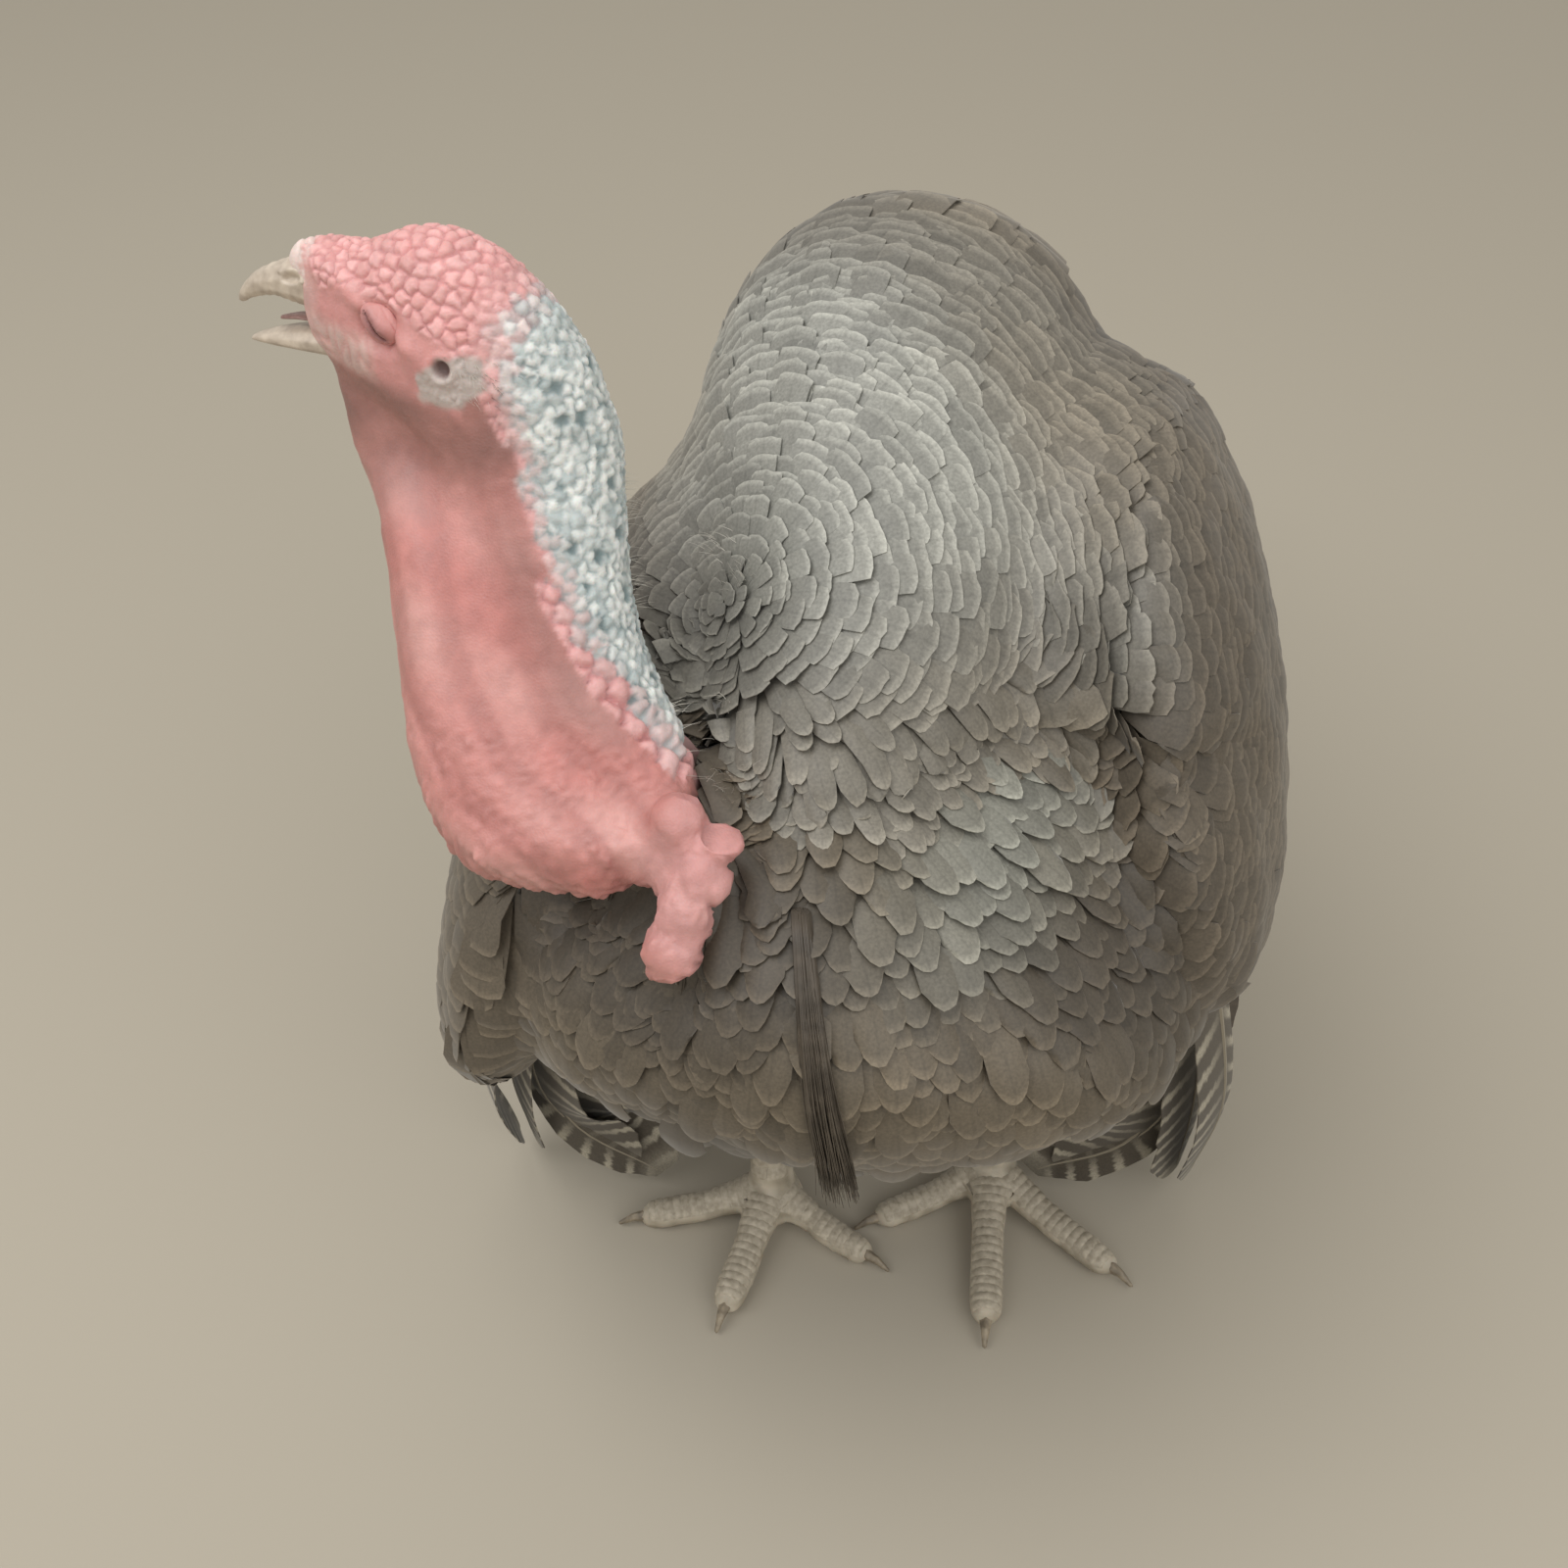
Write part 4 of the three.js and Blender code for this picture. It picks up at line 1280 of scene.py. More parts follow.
        # throat and hanging skin: folds down the neck, fine wrinkles and a scalloped rim below
        smooth = 1 - lump_here
        hang = ramp(470, 440, mm[:, 2]) * smooth
        across = mm[:, 0] * 0.86 - mm[:, 1] * 0.5
        drift = ripple(mm, 80, rng)
        folds = np.sin(nape / 0.6 * 6.28 + 0.8 * drift - 0.6) * 0.8
        folds += np.sin(nape / 0.19 * 6.28 + 1.8 * drift) * 0.2
        rise += 0.5 * folds * ramp(500, 460, mm[:, 2]) * smooth * (ahead < -8)
        fine = ripple(mm, 4.4, rng, (1, 1, 2.6), 24)
        creased = ramp(424, 384, mm[:, 2])
        rise += (0.75 * np.abs(fine) - 0.3) * creased * hang
        rise += 0.14 * ripple(mm, 3.6, rng, (1, 1, 2)) * smooth
        rim = ramp(0.1, 0.8, -normals[:, 2] - 0.3 * normals[:, 0]) * ramp(400, 372, mm[:, 2])
        rise += 1.1 * rim * np.sin(across / 7.0 * 6.28 + 2 * ripple(mm, 30, rng)) * hang

        # colours, painted shade among them
        red = blend(tone["throat"], tone["throat_red"], 0.5 + 0.5 * ripple(mm, 26, rng).clip(-1, 1))
        wattle = blend(tone["wattle"], tone["wattle_light"], (0.35 + 0.5 * ripple(mm, 34, rng)).clip(0, 1))
        # painted shade: the troughs of the neck's folds are painted deeper red
        wattle = blend(wattle, tone["wattle_deep"], (0.55 * ramp(0.25, -0.9, folds)).clip(0, 1))
        colour = blend(red, wattle, ramp(-30, -62, high + 0.35 * (ahead + 30)))
        # painted shade: a band under the head takes the throat's darker tone
        under_head_shade = 0.7 * bell(nape, 0.22, 0.24) * ramp(480, 440, mm[:, 2]) * ramp(380, 410, mm[:, 2])
        for name, share in (
            ("throat", under_head_shade * smooth),
            ("wattle_light", 0.6 * rim),
            ("brow", ramp(-14, -4, high) * smooth * (ahead > -60)),
            ("brow", brow),
            ("cheek", cheek * (0.45 + 0.9 * crinkle).clip(0, 1)),
            ("cheek", 0.7 * ramp(-6, 3, ahead) * ramp(22, 14, high)),
        ):
            colour = blend(colour, tone[name], share)

        # each lump has one colour, so the border breaks up into single lumps
        chance = rng.uniform(0, 1, len(lumps.centres))
        centre_ahead, _, centre_high = HEAD.read(lumps.centres).T
        _, centre_past = NECK.read(lumps.centres)
        pale = ramp(-64, -78, centre_ahead + 5 * ramp(20, 36, centre_high) + 8 * (chance - 0.5))
        pale *= ramp(-0.1, 0.06, centre_past + 0.16 * (chance - 0.5))
        shade = rng.uniform(0, 1, len(chance))
        crown = blend(tone["brow"], tone["crown"], 0.35 + 0.65 * shade)
        crown = blend(crown, tone["bead"], 0.7 * (1 - ramp(430, 450, lumps.centres[:, 2])))
        white = blend(tone["nape_blue"], tone["nape"], (1.3 * shade).clip(0, 1))
        border = ramp(0.2, 0.06, centre_past + 0.1 * (chance - 0.5))
        white = blend(white, tone["nape_border"], 0.8 * border)
        lump_tone = blend(crown, white, pale)[lumps.owner]
        pale_here = pale[lumps.owner]
        # painted shade: the valleys between lumps are painted darker than the domes, over the nape's own
        # bluer skin
        blue = blend(tone["nape_blue"], tone["nape_deep"], 0.5 + 0.5 * ripple(mm, 12, rng).clip(-1, 1))
        valley = blend(tone["crown_deep"], blue, pale_here)
        lump_tone = blend(valley, lump_tone, ramp(0.2, 0.75, dome + 0.22 * crust * pale_here))
        # painted shade: the sunk pits are painted dark
        lump_tone = blend(lump_tone, tone["nape_deep"], pitted * 0.9)
        # painted shade: a dark band round the lids' opening, in a darkened crown tone
        eye_slit_shade = bell(slit, 0.2, 0.8) * (np.hypot(ahead - HEAD.eye[0], high - HEAD.eye[2]) < 9)
        snood_tip = ramp(1, 9, ahead + 2 * crust) * ramp(11, 17, high)
        for layer, share in (
            (lump_tone, ramp(0.2, 0.8, lump_here)),
            (tone["ear"], ear_patch),
            # painted shade: the ear's opening is painted dark
            (tone["ear_hole"], on_side * ramp(3.4, 2.4, ear_away)),
            (tone["crown_deep"] * 0.55, 0.8 * eye_slit_shade),
            (tone["snood"], 0.85 * snood_tip),
            (tone["bead"], 0.55 * ramp(26, 18, self.lobe_tint.reach(mm))),
        ):
            colour = blend(colour, layer, share)
        return rise, colour


# ---------------------------------------------------------------- plumage


@dataclass
class Lie:
    """Which way the feathers lie: away from the nape over the trunk, out and back over the wings.

    Args:
        base: the skin they grow from.
        body: the way over the skin from the foot of the nape, metres, at each point.
        wing: that way and a share of the way back, metres.
        on_wing: which faces lie on the wings.
        flow: the lie at each face.
        tree: the skin, for finding places on it.
        start: the point where the rows of the trunk start.
    """

    base: CoatBase
    body: Array
    wing: Array
    on_wing: Array
    flow: Array
    tree: BVHTree
    start: int

    @classmethod
    def over(cls, base: CoatBase, nape_foot: Point = (-44.0, -72.0, 408.0),
             wing_back: float = 0.5) -> "Lie":
        """Works the lie out over a coat base.

        Args:
            base: the skin.
            nape_foot: where the rows of the trunk start, bird's frame.
            wing_back: how much more the wings' rows follow the way back.

        Returns:
            The lie.
        """
        body = cls.measure(base, np.array(nape_foot))
        wing = body + wing_back * base.points[:, 1]
        wings = [COAT_NODES.index(f"wing_{side}") for side in SIDES]
        on_wing = np.isin(base.region[base.quads], wings).sum(axis=1) > 2
        slope = unit(np.where(on_wing[:, None], cls.slope(base, wing), cls.slope(base, body)))
        normal = unit(base.normals[base.quads].mean(axis=1))
        place = BIRD.read(base.points[base.quads].mean(axis=1))
        hang = ramp(-14, 12, cape_edge(place)) * ramp(20, -30, place[:, 1]) * ~on_wing
        down = np.array([0.0, 0.0, -1.0]) + normal * normal[:, 2:]
        slope = slope * (1 - 0.75 * hang)[:, None] + down * (0.75 * hang)[:, None]
        at_points = np.zeros_like(base.points)
        for corner in range(4):
            np.add.at(at_points, base.quads[:, corner], unit(slope))
        at_points = relax(unit(at_points), base.edges, 8, pull=0.5, push=0.0)
        flow = unit(at_points[base.quads].mean(axis=1))
        close = np.linalg.norm(BIRD.read(base.points) - np.array(nape_foot), axis=1) < 26
        start = int(np.where((base.region >= 0) & close, body, np.inf).argmin())
        spoke = base.points[base.quads].mean(axis=1) - base.points[start]
        near = ramp(34, 14, np.linalg.norm(spoke, axis=1) / MM)[:, None]
        flat = unit(spoke - normal * np.sum(spoke * normal, 1, keepdims=True))
        flow = unit(flow * (1 - near) + flat * near)
        tree = BVHTree.FromPolygons(base.points.tolist(), base.quads.tolist())
        return cls(base, body, wing, on_wing, flow, tree, start)

    @staticmethod
    def slope(base: CoatBase, height: Array) -> Array:
        """Finds the way a height at the points rises over each face.

        Args:
            base: the skin.
            height: one value for each point.

        Returns:
            A vector for each face.
        """
        q, corners = base.quads, base.points[base.quads]
        along = (height[q[:, 1]] + height[q[:, 2]] - height[q[:, 0]] - height[q[:, 3]])[:, None]
        aside = (height[q[:, 2]] + height[q[:, 3]] - height[q[:, 0]] - height[q[:, 1]])[:, None]
        one = corners[:, 1] + corners[:, 2] - corners[:, 0] - corners[:, 3]
        two = corners[:, 2] + corners[:, 3] - corners[:, 0] - corners[:, 1]
        rise = along * one / np.sum(one * one, 1, keepdims=True).clip(1e-12)
        return rise + aside * two / np.sum(two * two, 1, keepdims=True).clip(1e-12)

    @staticmethod
    def measure(base: CoatBase, nape_foot: Array, from_neck: tuple = (0.7, 0.3, 0.35),
                start: float = 14.0) -> Array:
        """The shortest way over the coat from the foot of the nape to each point, made even.

        Args:
            base: the skin.
            nape_foot: where it starts, bird's frame.
            from_neck: the way there from the neck, along which the first feathers all lie.
            start: how far around it the ways start straight.

        Returns:
            Metres, one value for each point.
        """
        coat = base.region >= 0
        links: list[list[tuple[int, float]]] = [[] for _ in base.points]
        for a, b in ((0, 1), (1, 2), (2, 3), (3, 0), (0, 2), (1, 3)):
            one, two = base.quads[:, a], base.quads[:, b]
            length = np.linalg.norm(base.points[one] - base.points[two], axis=1)
            for i, j, d in zip(one.tolist(), two.tolist(), length.tolist()):
                links[i].append((j, d))
                links[j].append((i, d))
        reach = np.full(len(base.points), np.inf)
        reach[~coat] = 0.0
        near = np.linalg.norm(BIRD.read(base.points) - nape_foot, axis=1)
        queue = []
        for i in np.nonzero(coat & (near < max(start, near[coat].min() + start)))[0].tolist():
            reach[i] = near[i] * MM
            queue.append((reach[i], i))
        heapq.heapify(queue)
        while queue:
            far, i = heapq.heappop(queue)
            if far > reach[i]:
                continue
            for j, d in links[i]:
                if coat[j] and far + d < reach[j]:
                    reach[j] = far + d
                    heapq.heappush(queue, (far + d, j))
        reach[~np.isfinite(reach)] = 0.0
        reach = relax(reach[:, None], base.edges, 12, coat, pull=0.5, push=0.0)[:, 0]
        away = (BIRD.read(base.points) - nape_foot) @ unit(np.array(from_neck))
        return reach + 0.2 * away * np.exp(-near / 34) * MM

    def row(self, level: float, height: Array, wanted: Array) -> list[Array]:
        """The lines over some faces where a height at the points equals level.

        Args:
            level: the height of the lines.
            height: one value for each point.
            wanted: which faces they may cross.

        Returns:
            Chains of rows (x, y, z, face).
        """
        quads = self.base.quads
        above = height[quads] > level
        hit = np.nonzero(wanted & above.any(axis=1) & ~above.all(axis=1))[0]
        crossing: dict[tuple[int, int], list[int]] = {}
        place: dict[tuple[int, int], Array] = {}
        for f in hit.tolist():
            corners = quads[f].tolist()
            for a, b in zip(corners, corners[1:] + corners[:1]):
                if (height[a] > level) != (height[b] > level):
                    key = (min(a, b), max(a, b))
                    crossing.setdefault(key, []).append(f)
                    share = (level - height[key[0]]) / (height[key[1]] - height[key[0]])
                    place[key] = self.base.points[key[0]] * (1 - share) + self.base.points[key[1]] * share
        sides: dict[int, list[tuple[int, int]]] = {}
        for key, faces in crossing.items():
            for f in faces:
                sides.setdefault(f, []).append(key)
        ends = [f for f in sides if any(len(crossing[k]) == 1 for k in sides[f])]
        chains = []
        unused = set(sides)
        for start in [*ends, *sides]:
            if start not in unused:
                continue
            face, came = start, next((k for k in sides[start] if len(crossing[k]) == 1), sides[start][0])
            chain = [(*place[came], face)]
            while face in unused:
                unused.discard(face)
                onward = [k for k in sides[face] if k != came]
                if not onward:
                    break
                came = onward[0]
                chain.append((*place[came], face))
                face = next((f for f in crossing[came] if f in unused), -1)
            chains.append(np.array(chain))
        return chains

    def glide(self, start: Array, face: int, way: float, steps: int) -> tuple[Array, Array]:
        """Follows the lie over the skin.

        Args:
            start: where to start.
            face: the face it lies on.
            way: how far to go in all, metres.
            steps: in how many steps.

        Returns:
            The points passed and the skin's normals there.
        """
        at, normal = Vector(start), Vector(self.face_normal(face))
        points, normals = [np.array(at)], [np.array(normal)]
        heading = self.flow[face]
        for _ in range(steps):
            heading = unit(heading * 0.6 + self.flow[face] * 0.4)
            hit, normal, face, _ = self.tree.find_nearest(at + Vector(heading * (way / steps)))
            at = hit
            points.append(np.array(at))
            normals.append(np.array(normal))
        return np.array(points), np.array(normals)

    def face_normal(self, face: int) -> Array:
        """A face's outward direction."""
        return unit(self.base.normals[self.base.quads[face]].mean(axis=0))


@dataclass(frozen=True)
class VaneShape:
    """The outline and build of a small feather, in shares of its own length and width.

    Args:
        stations: how far along each row of the mesh lies.
        breadth: the half width at each row.
        across: how far across each column lies.
        rounding: how far the tip's corners draw back, in half widths.
        camber: how far the edges dip, in half widths.
        thickness: millimetres.
    """

    stations: tuple[float, ...] = (0.0, 0.5, 0.84, 1.0)
    breadth: tuple[float, ...] = (0.4, 0.92, 1.0, 0.94)
    across: tuple[float, ...] = (-1.0, -0.8, -0.42, 0.0, 0.42, 0.8, 1.0)
    rounding: float = 0.34
    camber: float = 0.1
    thickness: float = 0.35


@dataclass
class VaneBed:
    """Many small feathers gathered for one piece.

    Args:
        vanes: the spine, the skin's normals, the width and the place on the unwrap of each.
    """

    vanes: list[tuple] = field(default_factory=list)

    def add(self, spine: Array, normals: Array, width: float, bake: Array) -> None:
        """Adds one feather: four points from root to tip, the skin's normals there, metres."""
        self.vanes.append((spine, normals, width, bake))

    def tips(self) -> Array:
        """The feathers' tips, row metres."""
        return np.array([spine[-1] for spine, *_ in self.vanes])

    def weave(self, name: str, shape: VaneShape, tints: Array, rng: Rng,
              patch: float = 0.003) -> Piece:
        """Makes one piece of all the feathers.

        Args:
            name: the piece's name.
            shape: their outline.
            tints: their colours.
            rng: draws the small differences from feather to feather.
            patch: size of each feather's place on the unwrap.

        Returns:
            The piece, with its tint and two UV maps.
        """
        spines, normals, widths, bake = (np.array(part) for part in zip(*self.vanes))
        count = len(spines)
        v = np.array(shape.stations)
        u = np.array(shape.across)
        knots = np.array([0, 1 / 3, 2 / 3, 1])
        weights = np.ones((len(v), 4))
        for k in range(4):
            for other in range(4):
                if other != k:
                    weights[:, k] *= (v - knots[other]) / (knots[k] - knots[other])
        line = np.einsum("rk,nkc->nrc", weights, spines)
        along, side, up = axes_along(line, unit(np.einsum("rk,nkc->nrc", weights, normals)), 1)
        half = (widths / 2)[:, None, None]
        breadth = np.array(shape.breadth)[None, :, None]
        roll = rng.normal(0, 0.05, (count, 1, 1))
        ragged = rng.normal(0, 0.04, (count, 1, len(u))) * (v ** 4)[None, :, None]
        x = u[None, None, :] * half * breadth
        back = (np.abs(u) ** 2.6)[None, None, :] * (v ** 3)[None, :, None] * shape.rounding - ragged
        z = -shape.camber * (u ** 2)[None, None, :] + roll * u[None, None, :]
        surface = (line[:, :, None] + side[:, :, None] * x[..., None]
                   - along[:, :, None] * (back * half)[..., None]
                   + up[:, :, None] * (z * half * breadth)[..., None])
        lift = up[:, :, None] * (shape.thickness * MM / 2)
        layers = np.stack([surface + lift, surface - lift], axis=1)
        each = 2 * len(v) * len(u)
        faces = (slab_faces(len(v), len(u))[None] + (np.arange(count) * each)[:, None, None]).reshape(-1, 4)
        piece = mesh_piece(name, layers.reshape(-1, 3), faces)
        paint(piece, "Tint", np.repeat(tints, each, axis=0))
        own = np.stack(np.broadcast_arrays((u[None, :] + 1) / 2, v[:, None]), axis=-1)
        own = np.broadcast_to(own[None, None], (count, 2, len(v), len(u), 2)).reshape(-1, 2)
        unwrap(piece, "Vane", own)
        unwrap(piece, "OFBake", np.repeat(bake, each, axis=0) + (own - 0.5) * patch)
        piece.data.set_sharp_from_angle(angle=math.radians(50))
        return piece


class Tract(Enum):
    """The fields of small feathers, each one piece of the coat."""

    CAPE = "cape"
    FRINGE = "cape_fringe"
    SADDLE = "saddle"
    BREAST = "breast_coat"
    BELLY = "belly_coat"
    RUMP = "rump_coat"
    WING_LEFT = "coverts_left"
    WING_RIGHT = "coverts_right"
    THIGHS = "thigh_coat"


@dataclass(frozen=True)
class TractStyle:
    """How the feathers of one tract are laid.

    Args:
        slot: the material slot.
        spacing: from row to row, near the neck and far from it, mm.
        width: of a feather, near and far.
        length: of a feather, near and far.
        far: the reach at which the far values hold.
        shape: outline of its feathers.
        loose: how unevenly they stand, in shares of the coat's depth.
        overlap: step along a row, in shares of a feather's width.
    """

    slot: str
    spacing: Pair
    width: Pair
    length: Pair
    far: float = 300.0
    shape: VaneShape = VaneShape()
    loose: float = 0.08
    overlap: float = 0.52

    def at(self, pair: Pair, reach: float) -> float:
        """One of its measures at a reach, mm: half as large right at the start."""
        grown = pair[0] + (pair[1] - pair[0]) * min(reach / self.far, 1.0)
        return grown * (0.5 + 0.5 * min(reach / 40.0, 1.0))


BROAD_TIP = VaneShape(breadth=(0.45, 0.95, 1.0, 0.96), rounding=0.25, camber=0.06)
ROUND_TIP = VaneShape(breadth=(0.45, 0.95, 1.0, 0.8), rounding=0.85, camber=0.18)

MANTLE, BODY = "mantle_feathers", "body_feathers"
WING_COVERTS = TractStyle(BODY, (5.6, 10.0), (18.0, 26.0), (30.0, 46.0), 420.0, loose=0.05)
TRACTS = {
    Tract.CAPE: TractStyle(MANTLE, (4.4, 5.8), (13.0, 22.0), (24.0, 34.0), 130.0, BROAD_TIP, 0.03, 0.36),
    Tract.FRINGE: TractStyle(MANTLE, (5.0, 5.6), (8.5, 9.5), (30.0, 36.0), 130.0, ROUND_TIP, 0.12),
    Tract.SADDLE: TractStyle(BODY, (5.5, 9.0), (19.0, 28.0), (34.0, 48.0), 400.0, BROAD_TIP, 0.04, 0.4),
    Tract.BREAST: TractStyle(BODY, (5.8, 8.4), (11.0, 16.0), (25.0, 36.0), 200.0, ROUND_TIP, 0.16),
    Tract.BELLY: TractStyle(BODY, (9.0, 11.0), (17.0, 20.0), (36.0, 42.0), 400.0, ROUND_TIP, 0.2),
    Tract.RUMP: TractStyle(BODY, (10.0, 13.0), (22.0, 28.0), (45.0, 60.0), 450.0),
    Tract.WING_LEFT: WING_COVERTS,
    Tract.WING_RIGHT: WING_COVERTS,
    Tract.THIGHS: TractStyle(BODY, (10.0, 10.0), (15.0, 15.0), (30.0, 30.0), 400.0, ROUND_TIP, 0.15),
}


@dataclass(frozen=True)
class PlumageTintsAndSheen:
    """The plumage's colours, sRGB hex: a dark bronze-brown ground and the greys of a painted sheen."""

    # painted sheen: the grey gleam laid on the cape, saddle and upper wings
    painted_sheen_grey: str = "92928b"
    # painted sheen: the blue-grey gleam on the upper breast
    painted_breast_sheen: str = "85857c"
    bronze: str = "665c4d"
    coal: str = "4e463b"
    umber: str = "5a5145"

    def colour(self, tract: Tract, mm: Array) -> Array:
        """Gives feathers their ground colour, and a painted sheen over the cape, saddle, upper wings and
        upper breast.

        Args:
            tract: their tract.
            mm: their tips, bird's frame.

        Returns:
            Linear red, green and blue rows.
        """
        x, y, z = mm.T
        patches = ramp(-1, 1, np.sin(x / 31) + np.cos(y / 37 + z / 23))
        dark = blend(rgb(self.coal), rgb(self.bronze), patches)
        # painted sheen: light is the share of the sheen grey, highest on the front of the hump; it fades over
        # the hump's crown and down the right side, which turn from the light, and at the far left
        crown = ramp(5, 70, y + 0.75 * x) * 0.62 + ramp(70, 150, y + 0.3 * x) * 0.38
        light = (1 - crown) * (1 - 0.6 * ramp(-60, -95, x))
        light *= 1 - 0.6 * ramp(30, 100, x)
        # painted sheen: the cape, saddle and fringe are blended towards the sheen grey, less so towards the
        # cape's lower edge
        if tract in (Tract.CAPE, Tract.SADDLE, Tract.FRINGE):
            light *= 1 - 0.6 * ramp(-60, 0, cape_edge(mm))
            return blend(dark, rgb(self.painted_sheen_grey), light * 0.92)
        if tract is Tract.BREAST:
            # painted sheen: a blue-grey gleam blended over the upper breast's ground colour
            blue = bell(x, 70, 36) * ramp(300, 345, z)
            return blend(dark, rgb(self.painted_breast_sheen), 0.9 * blue)
        if tract in (Tract.WING_LEFT, Tract.WING_RIGHT):
            out = np.abs(x - 5)
            # painted sheen: the upper coverts, fading outwards and downwards, and a patch by the neck take
            # the sheen grey
            pale = (1 - ramp(84, 132, out)) * ramp(350, 400, z) * light
            painted_sheen_by_neck = np.exp(-((y + 55) / 30) ** 2 - ((out - 96) / 16) ** 2) * ramp(370, 395, z)
            dark = blend(dark, rgb(self.umber), np.full(len(x), 0.6))
            return blend(dark, rgb(self.painted_sheen_grey), (0.85 * pale + 0.2 * painted_sheen_by_neck).clip(0, 0.9))
        return dark


@dataclass
class Plumage:
    """The small feathers, in rows over the skin from the neck's foot to the tail.

    Args:
        lie: their lie.
        tints_and_sheen: their colours, with a painted sheen.
        last_root: how far back the tail coverts root, mm.
        rings: feathers, radius, length and width of each ring round the rows' start, mm, the outer one first.
    """

    lie: Lie
    tints_and_sheen: PlumageTintsAndSheen = PlumageTintsAndSheen()
    last_root: float = 374.0
    rings: tuple = ((20, 11.0, 14.0, 8.0), (15, 6.0, 12.0, 7.0), (9, 2.2, 9.0, 6.0), (5, 0.4, 6.0, 5.5))

    def tract_of(self) -> Array:
        """Finds the tract of each face.

        Returns:
            An index into Tract, or -1 off the coat.
        """
        base = self.lie.base
        order = list(Tract)
        node = np.array([*COAT_NODES, ""])[base.region[base.quads[:, 0]]]
        mm = BIRD.read(base.outer[base.quads].mean(axis=1))
        below = cape_edge(mm)
        reach = self.lie.body[base.quads].mean(axis=1) / MM
        found = np.full(len(node), order.index(Tract.BELLY))
        for tract, here in (
            (Tract.BREAST, mm[:, 2] > 270),
            (Tract.BELLY, (mm[:, 1] > 60) & (below > 0)),
            (Tract.CAPE, below < 0),
            (Tract.FRINGE, (below < 0) & (below > -24) & (mm[:, 1] < -70) & (reach > 30)),
            (Tract.SADDLE, (below < 0) & (mm[:, 1] > 60)),
            (Tract.RUMP, np.isin(node, ("rump", "tail_coverts"))),
            (Tract.THIGHS, np.isin(node, ("thigh_left", "thigh_right"))),
            (Tract.WING_LEFT, node == "wing_left"),
            (Tract.WING_RIGHT, node == "wing_right"),
        ):
            found[here] = order.index(tract)
        found[(base.region[base.quads] < 0).any(axis=1)] = -1
        return found

    def roots(self, style: TractStyle, wanted: Array, rng: Rng) -> list[tuple]:
        """Places the roots of one tract's feathers.

        Args:
            style: the tract's style.
            wanted: which faces belong to it.
            rng: shifts each root a little.

        Returns:
            Rows of place, face, way along the tract in mm, and turn in the row.
        """
        on_wing = bool(self.lie.on_wing[wanted].mean() > 0.5)
        height = self.lie.wing if on_wing else self.lie.body
        heights = height[self.lie.base.quads[wanted]]
        level, last = heights.min() / MM + 0.3, heights.max() / MM
        start = level if on_wing else 0.0
        found = []
        turn = 0
        while level < last:
            step = style.at(style.width, level - start) * style.overlap * MM
            for chain in self.lie.row(level * MM, height, wanted):
                gaps = np.linalg.norm(np.diff(chain[:, :3], axis=0), axis=1)
                gone = np.concatenate([[0], np.cumsum(gaps)])
                at = step * (0.25 + 0.5 * (turn % 2))
                count = 0
                while at < gone[-1]:
                    i = min(int(np.searchsorted(gone, at)) - 1, len(gaps) - 1)
                    share = (at - gone[i]) / max(gaps[i], 1e-9)
                    place = chain[i, :3] * (1 - share) + chain[i + 1, :3] * share
                    found.append((place, int(chain[i, 3]), level - start, count % 2))
                    at += step * rng.uniform(0.92, 1.08)
                    count += 1
            level += style.at(style.spacing, level - start)
            turn += 1
        return found

    @staticmethod
    def heights(lift: float, length: float) -> Array:
        """How far a feather's spine stands off the skin: short ones root higher, so none stands steeply."""
        return lift - min(1.04 * lift, 0.3 * length) * np.array([1.0, 0.53, 0.19, 0.0])

    def whorl(self, bed: VaneBed, lift: float, rng: Rng) -> None:
        """Lays small feathers right round the place where the rows start, and closes it.

        Args:
            bed: the bed they go in.
            lift: how deep the coat is there, metres.
            rng: makes them uneven.
        """
        base, tree = self.lie.base, self.lie.tree
        middle, normal, face, _ = tree.find_nearest(Vector(base.points[self.lie.start]))
        one = np.array(normal.orthogonal().normalized())
        two = np.cross(np.array(normal), one)
        for order, (count, radius, length, width) in enumerate(self.rings):
            for k in range(count):
                turn = 2 * math.pi * (k + 0.5 * order + rng.uniform(-0.3, 0.3)) / count
                way = one * math.cos(turn) + two * math.sin(turn)
                long = length * rng.uniform(0.8, 1.15)
                reach = radius + long * np.array([0, 1 / 3, 2 / 3, 1])
                hits = [tree.find_nearest(Vector(np.array(middle) + way * r * MM)) for r in reach]
                spine, normals = (np.array([hit[part] for hit in hits]) for part in (0, 1))
                spine = spine + normals * self.heights(lift * (1 + 0.04 * order), long * MM)[:, None]
                bed.add(spine, normals, width * MM, base.bake[face].mean(axis=0))

